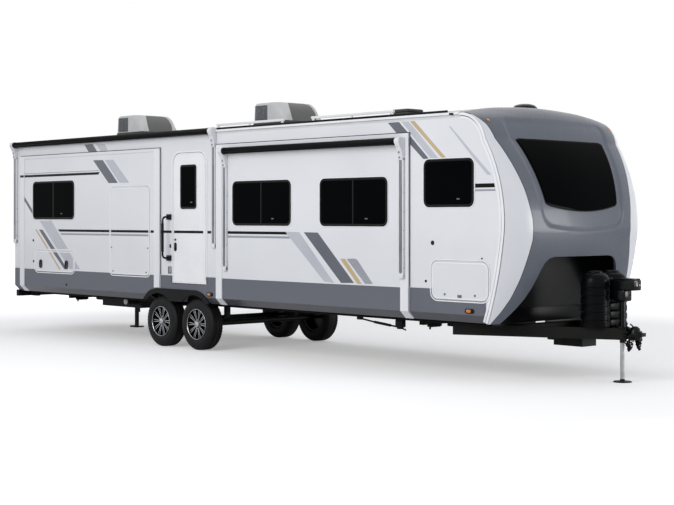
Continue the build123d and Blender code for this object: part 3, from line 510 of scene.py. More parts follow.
for material, nodes in CAD_FINISH:
    for node in nodes:
        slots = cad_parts[node].material_slots
        for place in slots:
            place.material = material
print("nodes with a finish:", sum(len(nodes) for _, nodes in CAD_FINISH))

# %% [markdown]
# ## The front cap
# The cap is one fibreglass moulding. Its sections run from the roof over the brow, down the nose and back
# under, and it bulges forward towards the centreline. A grid is bent to that surface, the sunk front panel is
# pressed into it, the shell gets its thickness, and the mouth over the tongue is cut away.

# %% Surface of the cap
CAP_STATIONS = [(0, 0, 0, 0), (0.035, 0.038, 0.018, 0.005), (0.11, 0.088, 0.042, 0.018),
                (0.26, 0.132, 0.064, 0.043), (0.56, 0.16, 0.078, 0.078), (WALL_SKIN, 0.18, 0.09, 0.105)]
CAP_REAR = (4.13, 3.035)
WALL_EDGE = {"brow": (4.4, 2.915), "shoulder": (4.52, 2.725), "high": (4.7, 2.35),
             "nose": (4.792, 1.7), "low": (4.7, 1.15), "foot": (4.555, 0.655)}
BROW_STEPS, NOSE_STEPS, FOOT_STEPS = 20, 44, 40


def arc_points(a, b, c, count):
    """Points along the circle through three points of a plane."""
    (ax, ay), (bx, by), (cx, cy) = a, b, c
    d = 2 * (ax * (by - cy) + bx * (cy - ay) + cx * (ay - by))
    sa, sb, sc = ax * ax + ay * ay, bx * bx + by * by, cx * cx + cy * cy
    ux = (sa * (by - cy) + sb * (cy - ay) + sc * (ay - by)) / d
    uy = (sa * (cx - bx) + sb * (ax - cx) + sc * (bx - ax)) / d
    radius = hypot(ax - ux, ay - uy)
    first = atan2(ay - uy, ax - ux)
    middle = atan2(by - uy, bx - ux) - first
    last = atan2(cy - uy, cx - ux) - first
    middle, last = middle % (2 * pi), last % (2 * pi)
    if middle > last:
        last -= 2 * pi
    return [(ux + radius * cos(first + last * i / count), uy + radius * sin(first + last * i / count))
            for i in range(count + 1)]


def station_at(inset):
    """The cap's bulge at a distance in from the side wall, smooth between the stations."""
    rows = CAP_STATIONS
    for i in range(len(rows) - 1):
        if inset <= rows[i + 1][0]:
            break
    t = (inset - rows[i][0]) / (rows[i + 1][0] - rows[i][0])

    def slope(k, column):
        if k == len(rows) - 1:
            return 0.0
        lower, upper = max(k - 1, 0), k + 1
        return (rows[upper][column] - rows[lower][column]) / (rows[upper][0] - rows[lower][0])

    values = []
    width = rows[i + 1][0] - rows[i][0]
    for column in (1, 2, 3):
        p0, p1 = rows[i][column], rows[i + 1][column]
        m0, m1 = slope(i, column) * width, slope(i + 1, column) * width
        values.append((2 * t ** 3 - 3 * t ** 2 + 1) * p0 + (t ** 3 - 2 * t ** 2 + t) * m0
                      + (-2 * t ** 3 + 3 * t ** 2) * p1 + (t ** 3 - t ** 2) * m1)
    return values


def cap_line(y):
    """(x, z) points of the cap's outer face at one distance from the centreline, roof first."""
    nose, brow, rise = station_at(WALL_SKIN - abs(y))
    edge = WALL_EDGE
    rear = (CAP_REAR[0], CAP_REAR[1] + rise)
    p1 = (edge["brow"][0] + brow * 0.6, edge["brow"][1] + rise * 0.8 + 0.02)
    p2 = (edge["shoulder"][0] + brow, edge["shoulder"][1])
    p3 = (edge["high"][0] + (nose + brow) / 2, edge["high"][1])
    p4 = (edge["nose"][0] + nose, edge["nose"][1])
    p5 = (edge["low"][0] + nose * 0.9, edge["low"][1])
    p6 = (edge["foot"][0] + nose * 0.4, edge["foot"][1])
    return (arc_points(rear, p1, p2, BROW_STEPS) + arc_points(p2, p3, p4, NOSE_STEPS)[1:]
            + arc_points(p4, p5, p6, FOOT_STEPS)[1:])


print("cap at the centreline reaches", round(max(x for x, _ in cap_line(0.0)), 3))

# %% [markdown]
# The sunk panel is drawn as a distance to the edge of a trapezoid with a bowed foot. Inside that edge the
# surface is pressed in by 18 mm, with a soft shoulder, as a mould does it. The white crescents follow a curve
# measured from the centreline at each height, kept as an attribute on the mesh for the material to read.

# %% Press the panel and cut the mouth
PANEL_TOP = (0.93, 2.955)
PANEL_FOOT = (0.715, 1.76)
PANEL_DIP = 1.69
PANEL_DEEP = 0.018
PANEL_CORNER = 0.12
CAP_SHELL = 0.022
WHITE_FROM = [(3.1, 1.26), (3.0, 1.22), (2.88, 1.16), (2.53, 1.07), (2.15, 0.97), (1.82, 0.909), (1.6, 0.9),
              (1.16, 0.99), (0.94, 1.05), (0.8, 1.115), (0.655, 1.2)]
MOUTH = [(0.5, 1.4), (0.59, 1.382), (0.65, 1.335), (0.695, 1.262), (0.73, 1.165), (0.775, 1.05),
         (0.84, 0.93), (0.92, 0.82), (1.005, 0.725), (1.09, 0.64), (1.09, 0.5)]


def panel_inside(y, z):
    """How far a point lies inside the sunk panel, seen from the front."""
    y = abs(y)
    lean = (PANEL_TOP[0] - PANEL_FOOT[0]) / (PANEL_TOP[1] - PANEL_FOOT[1])
    side = (PANEL_FOOT[0] + (z - PANEL_FOOT[1]) * lean - y) / sqrt(1 + lean * lean)
    foot = z - (PANEL_DIP + (PANEL_FOOT[1] - PANEL_DIP) * (y / PANEL_FOOT[0]) ** 2)
    head = PANEL_TOP[1] - z
    for end in (foot, head):
        if side < PANEL_CORNER and end < PANEL_CORNER:
            return PANEL_CORNER - hypot(PANEL_CORNER - side, PANEL_CORNER - end)
    return min(side, foot, head)


def white_edge(z):
    """Half width of the grey middle of the cap at one height."""
    for (z1, y1), (z0, y0) in zip(WHITE_FROM, WHITE_FROM[1:]):
        if z >= z0:
            return y0 + (y1 - y0) * (z - z0) / (z1 - z0)
    return WHITE_FROM[-1][1]


def smooth_step(value, low, high):
    """From 0 below low to 1 above high, with no corner between."""
    t = min(max((value - low) / (high - low), 0.0), 1.0)
    return t * t * (3 - 2 * t)


half_rows = [0.0]
while half_rows[-1] < WALL_SKIN - 0.0005:
    gap = WALL_SKIN - half_rows[-1]
    half_rows.append(min(WALL_SKIN, half_rows[-1] + (0.024 if gap > 0.14 else 0.008)))
cap_rows = [-y for y in reversed(half_rows[1:])] + half_rows
grid_width = len(cap_rows)
cap = grid(grid_width, len(cap_line(0.0)))
for column, y in enumerate(cap_rows):
    for row, (x, z) in enumerate(cap_line(y)):
        press = PANEL_DEEP * smooth_step(panel_inside(y, z), -0.01, 0.022) if z > 1.5 else 0.0
        cap.data.vertices[row * grid_width + column].co = (x - press, y, z)
even_normals()
middle = cap.data.polygons[len(cap.data.polygons) // 2]
if middle.normal.x < 0:
    cap.data.flip_normals()
use("SOLIDIFY", cap, thickness=CAP_SHELL, offset=-1.0)
below = [(-y, z) for y, z in reversed(MOUTH)] + MOUTH
cutter = outline(below, lambda y, z: (4.25, y, z))
thicken(cutter, 1.2, (1, 0, 0))
use("BOOLEAN", cap, operation="DIFFERENCE", object=cutter, solver="EXACT")
bpy.data.objects.remove(cutter)
attribute = cap.data.attributes.new("past_white_edge", "FLOAT", "POINT")
for vertex, value in zip(cap.data.vertices, attribute.data):
    value.value = abs(vertex.co.y) - white_edge(vertex.co.z)
print("cap mesh faces:", len(cap.data.polygons))

# %% [markdown]
# Automotive grey over a white moulding: the grey has a fine flake and a clear coat. The two colours meet in a
# sharp masked line. The thin darker line beside it is painted shade, where the grey stands as a low step over
# the white.

# %% Cap finish
cap_paint = finish("two_tone_cap_paint", "#646973", "#5C616B", (0.24, 0.32), cloud_mm=1500, grain_mm=9,
                   bump_mm=0.05, coat=0.08, gloss=0.16)
past = add_node(cap_paint.node_tree, "Attribute", attribute_name="past_white_edge").outputs["Fac"]
# the grey band within 12 mm of the white edge is painted shade of the step between grey and white
tinted(cap_paint, [(past, "COMPARE", (-0.006, 0.006), "#3F434A"), (past, "GREATER_THAN", (0.0,), "#D9DBE0")])
settle(cap, "cap_shell", cap_paint, angle=40)
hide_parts("front_cap")

# %% [markdown]
# The front window is one sheet of black glass, wider at the top, with its foot bowed down. It is cut from the
# same surface as the cap so that it follows its curve, and stands a few millimetres proud of the sunk panel.

# %% Front glass
GLASS_TOP = (0.785, 2.726)
GLASS_FOOT = (0.65, 1.99)
GLASS_DIP = 1.916
GLASS_ROWS, GLASS_COLUMNS = 36, 60


def cap_x(y, z):
    """The cap's outer face at one place seen from the front."""
    points = cap_line(y)
    for (x0, z0), (x1, z1) in zip(points, points[1:]):
        if z1 <= z <= z0 and x0 > 4.3:
            t = (z0 - z) / (z0 - z1) if z0 != z1 else 0
            return x0 + (x1 - x0) * t
    return points[0][0]


def glass_grid(grow, forward):
    """A grid over the window's outline, grown by a margin and moved ahead of the sunk panel."""
    piece = grid(GLASS_COLUMNS + 1, GLASS_ROWS + 1)
    for index, vertex in enumerate(piece.data.vertices):
        u = (index % (GLASS_COLUMNS + 1)) / GLASS_COLUMNS * 2 - 1
        v = (index // (GLASS_COLUMNS + 1)) / GLASS_ROWS
        top = GLASS_TOP[1] + grow
        half = GLASS_FOOT[0] + (GLASS_TOP[0] - GLASS_FOOT[0]) * v + grow
        y = u * half
        foot = GLASS_DIP + (GLASS_FOOT[1] - GLASS_DIP) * u * u - grow
        z = foot + (top - foot) * v
        round_off = 0.018 * max(0.0, abs(u) - 0.93) / 0.07
        z = z - round_off * (v ** 12) + round_off * ((1 - v) ** 12)
        vertex.co = (cap_x(y, z) - PANEL_DEEP + forward, y, z)
    piece.data.update()
    return piece


glass = glass_grid(0.0, 0.002)
thicken(glass, 0.01, (1, 0, 0))
soften(glass, 0.002, 2, 50)
settle(glass, "front_glass", black_glass)
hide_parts("cap_glass")
rim_seal = glass_grid(0.01, 0.0)
thicken(rim_seal, 0.004, (1, 0, 0))
settle(rim_seal, "front_glass_seal", black_moulding)
print("front glass done")

# %% [markdown]
# ## Wall edge trim
# Where the wall meets the cap, a white extrusion with two ribs covers the joint. It follows the wall's front
# edge over three arcs, from the roof down to the skirt.

# %% Wall edge trim
edge = WALL_EDGE
edge_line = arc_points(CAP_REAR, (edge["brow"][0], edge["brow"][1] + 0.02), edge["shoulder"], 14)
edge_line += arc_points(edge["shoulder"], edge["high"], edge["nose"], 26)[1:]
edge_line += arc_points(edge["nose"], edge["low"], edge["foot"], 22)[1:]


def moved_in(points, distance):
    """The same line moved to its inner side."""
    moved = []
    for i, (x, z) in enumerate(points):
        x0, z0 = points[max(i - 1, 0)]
        x1, z1 = points[min(i + 1, len(points) - 1)]
        length = hypot(x1 - x0, z1 - z0)
        moved.append((x + (z1 - z0) / length * distance, z - (x1 - x0) / length * distance))
    return moved


for side, side_name in SIDES:
    strips = []
    for near, far, proud in ((0.006, 0.04, 0.01), (0.048, 0.078, 0.007)):
        a = [(x, side * WALL_SKIN, z) for x, z in moved_in(edge_line, near)]
        b = [(x, side * WALL_SKIN, z) for x, z in moved_in(edge_line, far)]
        strips.append(ribbon(a, b, proud, (0, side, 0), 0.003))
    settle(strips, side_name + "_front_edge_trim", trim_white)
print("edge trim done")

# %% [markdown]
# ## Windows
# Each window is a black pane in a slim frame with rounded corners, with a small grey latch near its foot.
# Sliding windows have a narrow black divider in their dark glass.

# %% Window frames
PANE_ROUND = 0.075
# columns: name, side, skin, rear, front, sill, head, body, with a divider
WINDOWS = [
    ("curb_bedroom_window", -1, WALL_SKIN, 3.574, 4.34, 1.966, 2.506, "trailer", False),
    ("road_bedroom_window", 1, WALL_SKIN, 3.574, 4.34, 1.966, 2.506, "trailer", False),
    ("road_rear_window", 1, WALL_SKIN, -5.1, -3.89, 1.82, 2.41, "trailer", True),
    ("road_bath_window", 1, WALL_SKIN, -2.7, -1.95, 1.966, 2.506, "trailer", False),
    ("rear_slide_window", -1, FACE_SKIN, -5.08, -3.865, 1.82, 2.41, "rear_slide", True),
    ("mid_slide_window_a", -1, FACE_SKIN, 0.048, 1.235, 1.741, 2.32, "mid_slide", True),
    ("mid_slide_window_b", -1, FACE_SKIN, 1.796, 2.988, 1.741, 2.32, "mid_slide", True),
    ("road_slide_window_a", 1, FACE_SKIN, 0.048, 1.235, 1.741, 2.32, "road_slide", True),
    ("road_slide_window_b", 1, FACE_SKIN, 1.796, 2.988, 1.741, 2.32, "road_slide", True),
]


def window_frame(name, side, skin, x0, x1, z0, z1, body, divided, radius):
    """A thin white rim, a wide black frame inside it, a divider and a sash latch."""
    rim = frame_ring(grown_corners(x0, x1, z0, z1, radius, 0.019), side, skin, 0.012, 0.007, 0.002)
    settle(rim, name + "_rim", trim_white, body)
    darks = [frame_ring(grown_corners(x0, x1, z0, z1, radius, 0.007), side, skin, 0.03, 0.009, 0.003)]
    glass_skin = skin + 0.005
    if divided:
        middle = (x0 + x1) / 2
        darks.append(block((middle - 0.01, side * glass_skin, z0 + 0.02),
                           (middle + 0.01, side * (glass_skin + 0.0015), z1 - 0.02)))
    settle(darks, name + "_frame", black_gloss, body)
    x = x0 + 0.7 * (x1 - x0)
    tab = block((x - 0.022, side * glass_skin, z0 + 0.078),
                (x + 0.022, side * (glass_skin + 0.006), z0 + 0.094), 0.002)
    settle(tab, name + "_latch", shroud_dark, body)


for name, side, skin, x0, x1, z0, z1, body, divided in WINDOWS:
    window_frame(name, side, skin, x0, x1, z0, z1, body, divided, PANE_ROUND)
window_frame("entry_door_window", -1, WALL_SKIN, -1.145, -0.782, 1.968, 2.572, "entry_door", False, 0.0375)
print("windows:", len(WINDOWS))

# %% [markdown]
# ## Stripes
# The graphics are cut vinyl. Each is a thin sheet laid on its skin: slanted bars in two greys and gold, and
# long thin lines in black and grey. The bars on a slide room move with it. Corners are (x, z) in metres.

# %% Stripes on the entry side
FILM = 0.0008
BELT = (1.623, 1.659)
BELT_HAIR = (1.572, 1.6)
LEAF_PROUD = 0.004
SKIN_OF = {"trailer": WALL_SKIN, "entry_door": WALL_SKIN, "rear_slide": FACE_SKIN, "mid_slide": FACE_SKIN,
           "road_slide": FACE_SKIN, "lower_hatch": FACE_SKIN + LEAF_PROUD,
           "kitchen_door": FACE_SKIN + LEAF_PROUD, "flange": FLANGE_SKIN}


def level(heights, x0, x1, upper_x0=None, upper_x1=None):
    """Corners of a level line between two heights. Its ends stand upright unless upper ones are given."""
    low, high = heights
    return [(x0, low), (x1, low), (x1 if upper_x1 is None else upper_x1, high),
            (x0 if upper_x0 is None else upper_x0, high)]


# columns: name, body or flange, tone, corners
GRAPHICS = [
    ("rear_upper_bar_dark", "rear_slide", "dark",
     [(-3.343, 2.71), (-3.082, 2.707), (-2.681, 2.356), (-2.924, 2.356)]),
    ("rear_upper_bar_light", "rear_slide", "light",
     [(-3.031, 2.705), (-2.802, 2.703), (-2.388, 2.355), (-2.634, 2.355)]),
    ("rear_high_bar_dark", "trailer", "dark",
     [(-3.617, 2.961), (-3.385, 2.959), (-3.253, 2.832), (-3.487, 2.832)]),
    ("rear_high_bar_light", "trailer", "light",
     [(-3.291, 2.956), (-3.053, 2.951), (-2.962, 2.832), (-3.153, 2.832)]),
    ("rear_corner_sliver", "rear_slide", "dark",
     [(-5.35, 2.175), (-5.1, 1.96), (-5.1, 1.89), (-5.35, 2.11)]),
    ("rear_low_bar_light", "rear_slide", "light",
     [(-4.89, 1.79), (-4.531, 1.79), (-4.041, 1.345), (-4.35, 1.345)]),
    ("rear_low_bar_end", "rear_slide", "light", [(-3.852, 1.18), (-3.707, 1.051), (-3.852, 1.046)]),
    ("hatch_bar_light", "lower_hatch", "light",
     [(-4.32, 1.319), (-4.015, 1.319), (-3.95, 1.262), (-3.884, 1.205), (-3.884, 1.048), (-3.996, 1.044)]),
    ("rear_low_bar_dark", "rear_slide", "dark",
     [(-4.909, 1.651), (-4.8, 1.652), (-4.425, 1.345), (-4.545, 1.345)]),
    ("hatch_bar_dark", "lower_hatch", "dark",
     [(-4.512, 1.319), (-4.394, 1.319), (-4.062, 1.041), (-4.149, 1.039)]),
    ("rear_low_bar_gold", "rear_slide", "gold",
     [(-5.022, 1.65), (-4.973, 1.651), (-4.617, 1.345), (-4.66, 1.345)]),
    ("hatch_bar_gold", "lower_hatch", "gold",
     [(-4.63, 1.319), (-4.588, 1.319), (-4.253, 1.03), (-4.294, 1.029)]),
    ("mid_bar_light", "mid_slide", "light", [(1.122, 1.659), (1.396, 1.656), (2.049, 1.032), (1.869, 1.044)]),
    ("mid_bar_dark", "mid_slide", "dark", [(1.481, 1.656), (1.748, 1.653), (2.409, 1.044), (2.177, 1.037)]),
    ("mid_bar_gold", "mid_slide", "gold", [(2.158, 1.334), (2.249, 1.336), (2.547, 1.037), (2.469, 1.034)]),
    ("mid_bar_mid", "mid_slide", "mid",
     [(2.276, 1.336), (2.4, 1.341), (2.445, 1.338), (2.475, 1.318), (2.738, 1.043), (2.603, 1.039)]),
    ("front_high_bar_dark", "trailer", "dark",
     [(2.976, 2.968), (3.161, 2.968), (3.312, 2.834), (3.125, 2.834)]),
    ("front_high_bar_light", "trailer", "light",
     [(3.2, 2.968), (3.318, 2.968), (3.47, 2.834), (3.35, 2.834)]),
    ("front_bar_dark", "trailer", "dark", [(3.342, 2.8), (3.648, 2.52), (3.556, 2.52), (3.342, 2.7)]),
    ("front_bar_light", "trailer", "light",
     [(3.35, 2.834), (3.47, 2.834), (3.8, 2.52), (3.68, 2.52), (3.342, 2.828)]),
    ("front_bar_gold", "trailer", "gold", [(3.342, 2.968), (3.415, 2.968), (3.92, 2.52), (3.853, 2.52)]),
    ("front_far_bar", "trailer", "light",
     [(3.96, 2.88), (3.985, 2.88), (4.33, 2.56), (4.6, 2.315), (4.54, 2.315), (4.3, 2.54)]),
    ("flange_upper_line", "flange", "black", level((2.491, 2.528), -5.472, -5.358)),
    ("rear_upper_line", "rear_slide", "black", level((2.491, 2.528), -5.35, -3.201, -5.35, -3.162)),
    ("rear_upper_hairline", "rear_slide", "mid", level((2.545, 2.556), -5.35, -3.185, -5.35, -3.17)),
    ("rear_belt_line", "rear_slide", "black", level(BELT, -4.297, -2.885, -4.34, -2.885)),
    ("rear_belt_hairline", "rear_slide", "mid", level(BELT_HAIR, -4.24, -2.885, -4.265, -2.885)),
    ("galley_belt_line", "kitchen_door", "black", level(BELT, -2.874, -1.876)),
    ("galley_belt_hairline", "kitchen_door", "mid", level(BELT_HAIR, -2.874, -1.876)),
    ("rear_belt_line_end", "rear_slide", "black", level(BELT, -1.866, -1.755)),
    ("wall_belt_line_rear", "trailer", "black", level(BELT, -1.615, -1.34)),
    ("wall_belt_line_front", "trailer", "black", level(BELT, -0.545, -0.318)),
    ("door_belt_line", "entry_door", "black", level(BELT, -1.322, -0.612)),
    ("mid_belt_line", "mid_slide", "black", level(BELT, -0.165, 1.165, -0.165, 1.128)),
    ("mid_belt_hairline", "mid_slide", "mid", level(BELT_HAIR, -0.165, 1.222, -0.165, 1.192)),
    ("front_belt_line", "trailer", "black", level((2.174, 2.22), 4.361, 4.651, 4.361, 4.641)),
    ("front_belt_hairline", "trailer", "mid", level((2.134, 2.156), 4.361, 4.66, 4.361, 4.655)),
]
for name, place, tone, corners in GRAPHICS:
    piece = board(corners, -1, SKIN_OF[place], FILM)
    body = "rear_slide" if place == "flange" else place
    settle(piece, "film_" + name, film[tone], body)
    if body == "trailer" and tone in ("dark", "light", "gold"):
        twin = copied(piece, Matrix.Diagonal((1, -1, 1, 1)))
        settle(twin, "film_road_" + name, film[tone], body)
ROAD_TWINS = ("mid_bar_light", "mid_bar_dark", "mid_belt_line")
road_graphics = [("road_" + name, "road_slide", tone, corners) for name, _, tone, corners in GRAPHICS
                 if name in ROAD_TWINS]
road_graphics.append(("road_wall_belt_line", "trailer", "black", level(BELT, -5.6, -0.318)))
for name, body, tone, corners in road_graphics:
    settle(board(corners, 1, SKIN_OF[body], FILM), "film_" + name, film[tone], body)
print("film pieces:", len(GRAPHICS) + len(road_graphics))

# %% [markdown]
# ## Wheels
# A trailer tyre has a flat ribbed tread, rounded shoulders with short lugs and a smooth sidewall. The rim is
# cast: ten pairs of machined spokes over gloss black pockets. One wheel is made about the Z axis with its
# outer side up, then copied and turned to each axle end.

# %% One tyre
TREAD = [(0.207, 0.08), (0.212, 0.098), (0.221, 0.1055), (0.2255, 0.1055), (0.229, 0.108), (0.262, 0.1108),
         (0.292, 0.1105), (0.295, 0.1095), (0.318, 0.104), (0.336, 0.096), (0.349, 0.086), (0.3575, 0.075),
         (0.359, 0.058), (0.351, 0.056), (0.351, 0.049), (0.3597, 0.047), (0.36, 0.028), (0.3515, 0.026),
         (0.3515, 0.019), (0.36, 0.017)]
tyre_profile = TREAD + [(radius, -height) for radius, height in reversed(TREAD)]
tyre = turned(tyre_profile, 96)
lugs = []
LUGS = 48
for side in (-1, 1):
    lug = block((0.336, -0.0075, side * 0.072), (0.3575, 0.0075, side * 0.094))
    bpy.context.view_layer.objects.active = lug
    for vertex in lug.data.vertices:
        if vertex.co.x > 0.35 and abs(vertex.co.z) > 0.08:
            vertex.co.x = 0.3485
            vertex.co.z = side * 0.0905
    lugs.append(lug)
    lugs += [copied(lug, Matrix.Rotation(2 * pi * i / LUGS, 4, "Z")) for i in range(1, LUGS)]
tyre = joined([tyre] + lugs)
print("tyre triangles about", 2 * len(tyre.data.polygons))

# %% One rim
RIM = [(0.2042, -0.092), (0.2042, 0.078), (0.212, 0.09), (0.2125, 0.107), (0.2085, 0.109), (0.205, 0.106),
       (0.198, 0.094), (0.194, 0.06), (0.19, 0.04), (0.185, -0.092)]
barrel = turned(RIM, 72)
POCKET = [(0.026, 0.006), (0.19, 0.006), (0.19, 0.02), (0.026, 0.026)]
pocket = turned(POCKET, 48)
hub = turned([(0.0, 0.03), (0.072, 0.03), (0.07, 0.06), (0.062, 0.068), (0.044, 0.07), (0.0, 0.07)], 36)
cap_ring = turned([(0.0, 0.066), (0.041, 0.066), (0.043, 0.092), (0.039, 0.1), (0.03, 0.103), (0.0, 0.1055)],
                  36)
blades = []
SPOKE_PAIRS = 10
for lean in (-1, 1):
    root, tip = 0.048, 0.199
    corners = [(root, lean * 0.0018), (root, lean * 0.009), (tip, lean * 0.0225), (tip, lean * 0.012)]
    blade = outline(corners, lambda x, y: (x, y, 0.052))
    thicken(blade, 0.032, (0, 0, 1))
    for vertex in blade.data.vertices:
        if vertex.co.x > 0.15 and vertex.co.z > 0.07:
            vertex.co.z += 0.01
    soften(blade, 0.0018, 2)
    blades.append(blade)
    blades += [copied(blade, Matrix.Rotation(2 * pi * i / SPOKE_PAIRS, 4, "Z")) for i in range(1,
                                                                                               SPOKE_PAIRS)]
nuts = []
for i in range(6):
    a = 2 * pi * (i + 0.5) / 6
    nut = turned([(0.0, 0.064), (0.009, 0.064), (0.009, 0.09), (0.006, 0.094), (0.0, 0.095)], 6)
    nuts.append(placed(nut, (0.058 * cos(a), 0.058 * sin(a), 0)))
spokes = joined(blades)
for piece, bright in ((barrel, None), (pocket, False), (hub, False), (cap_ring, True), (spokes, None)):
    piece.data.materials.append(machined)
    piece.data.materials.append(black_gloss)
    for polygon in piece.data.polygons:
        if bright is None:
            shiny = polygon.normal.z > 0.8 if piece is spokes else polygon.center.z > 0.104
        else:
            shiny = bright
        polygon.material_index = 0 if shiny else 1
for nut in nuts:
    nut.data.materials.append(machined)
rim = joined([barrel, pocket, hub, cap_ring, spokes] + nuts)
print("rim triangles about", 2 * len(rim.data.polygons))

# %% Copy the wheel to its four places
for side, side_name in SIDES:
    for x, end_name in zip(AXLE_X, ("rear", "front")):
        place = Matrix.Translation((x, side * TYRE_Y, TYRE_R)) @ Matrix.Rotation(-side * pi / 2, 4, "X")
        body = f"{side_name}_{end_name}_wheel"
        one = settle(copied(tyre, place), body + "_tyre", rubber, body, 28)
        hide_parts(f"{side_name}_{end_name}_tyre")
        one = settle(copied(rim, place), body + "_rim", None, body, 32)
        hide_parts(f"{side_name}_{end_name}_rim")
for piece in (tyre, rim):
    bpy.data.objects.remove(piece)
print("wheels placed")

# %% [markdown]
# ## Awnings
# Each awning is vinyl rolled on a tube between two heads. The arms are white alloy channels with a second
# channel folded inside, given a darker grey as painted shade inside the channel; darker studs along each arm
# are painted shade standing for its holes. Seen from the end, a head is round at the tube and tapers down
# into the arm.


# %% Awning pieces
HOLE_STEP = 0.22
ARM_WIDE = 0.076


def awning_dress(name, body, ends, z, foot, bases):
    """Roller, heads and folded arms of one awning. bases are the skins under its rear and front arm."""
    tube_y = -(max(bases) + 0.066)
    roll = turned([(0.0, ends[0]), (0.0455, ends[0]), (0.0455, ends[0] + 0.04), (0.043, ends[0] + 0.045),
                   (0.043, ends[1] - 0.045), (0.0455, ends[1] - 0.04), (0.0455, ends[1]), (0.0, ends[1])], 40)
    lying = Matrix(((0, 0, 1, 0), (0, 1, 0, 0), (-1, 0, 0, 0), (0, 0, 0, 1)))
    roll.data.transform(Matrix.Translation((0, tube_y, z)) @ lying)
    flap = block((ends[0] + 0.03, tube_y - 0.047, z - 0.03), (ends[1] - 0.03, tube_y - 0.04, z - 0.006),
                 0.002)
    roll = settle([roll, flap], name + "_roller", roller_vinyl, body)
    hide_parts(name + "_tube")
    metal, inner = [], []
    for x, out, base in ((ends[0], -1, bases[0]), (ends[1], 1, bases[1])):
        a, b = sorted((x, x + out * ARM_WIDE))
        middle = (a + b) / 2
        depth = -tube_y - base
        pear = [(0.0, z + 0.03), (0.02, z + 0.047)]
        for i in range(9):
            turn = radians(95 - i * 17)
            pear.append((depth + 0.05 * cos(turn), z + 0.05 * sin(turn)))
        pear += [(0.06, z - 0.12), (0.047, z - 0.22), (0.0, z - 0.225)]
        head = outline(pear, lambda d, h: (a, -(base + d), h))
        thicken(head, ARM_WIDE, (1, 0, 0))
        soften(head, 0.006, 3, 30)
        metal.append(head)
        for edge_x in (a, b - 0.013):
            metal.append(block((edge_x, -base, foot), (edge_x + 0.013, -(base + 0.04), z - 0.2), 0.002))
        metal.append(block((a, -base, foot), (b, -(base + 0.01), z - 0.2), 0.002))
        metal.append(block((a, -base, foot - 0.002), (b, -(base + 0.043), foot + 0.055), 0.006))
        inner.append(block((a + 0.02, -(base + 0.01), foot + 0.07), (b - 0.02, -(base + 0.036), z - 0.19),
                           0.003))
        inner.append(block((a + 0.026, -(base + 0.034), foot + 0.3), (b - 0.026, -(base + 0.043), z - 0.45),
                           0.003))
        for height in (z - 0.06, z - 0.13, z - 0.19):
            pin = stud(0.012, 0.011, 0.004, 0.006, 14)
            inner.append(placed(pin, (middle, -(base + 0.0955 + (height - z) * 0.2), height), pi / 2))
        # darker studs along the arm's edge are painted shade standing for its holes
        for i in range(int((z - foot - 0.5) / HOLE_STEP)):
            height = foot + 0.12 + i * HOLE_STEP
            pin = stud(0.006, 0.005, 0.003, 0.004, 10)
            inner.append(placed(pin, (b, -(base + 0.022), height), pi / 2, "Y"))
    arms = settle(metal, name + "_heads_and_arms", satin_aluminium, body, 30)
    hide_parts(name + "_arms")
    settle(inner, name + "_inner_arms", inner_alloy, body, 30)


awning_dress("rear_awning", "trailer", (-5.59, -0.4), 3.02, 1.43, (WALL_SKIN, WALL_SKIN))
awning_dress("mid_awning", "mid_slide", (-0.06, 3.215), 2.735, 1.13, (FACE_SKIN, FLANGE_SKIN))
rail = block((-5.59, -WALL_SKIN, 3.0), (-0.4, -(WALL_SKIN + 0.02), 3.034), 0.003)
settle(rail, "rear_awning_wall_rail", black_moulding)
print("awnings dressed")

# %% [markdown]
# ## Roof
# The air conditioners have a moulded shroud: light behind, with slatted vents, and dark over the front and
# round its corners. A grid is bent round each shroud, upright at the rear and drawn down in front. The two
# rails, the vent lid and the round dome stand on the roof beside them. Black strips along the roof edges are
# painted shade, standing for the dark gap under the rails.


# %% Air conditioners
AC_FLOOR_Z = 3.152
AC_HEIGHT = 0.302
AC_HALF = 0.3515
REAR_LEAN = 0.03


def shroud_section(half, height, corner):
    """(y, z) points of a box section with round upper corners, from one foot over the top to the other."""
    top = AC_FLOOR_Z + height
    points = [(-half, AC_FLOOR_Z + (height - corner) * i / 5) for i in range(5)]
    for i in range(9):
        a = radians(90 * i / 8)
        points.append((-half + corner * (1 - cos(a)), top - corner * (1 - sin(a))))
    points += [((-half + corner) * (1 - i / 4), top) for i in range(1, 4)]
    return points + [(0.0, top)] + [(-y, z) for y, z in reversed(points)]


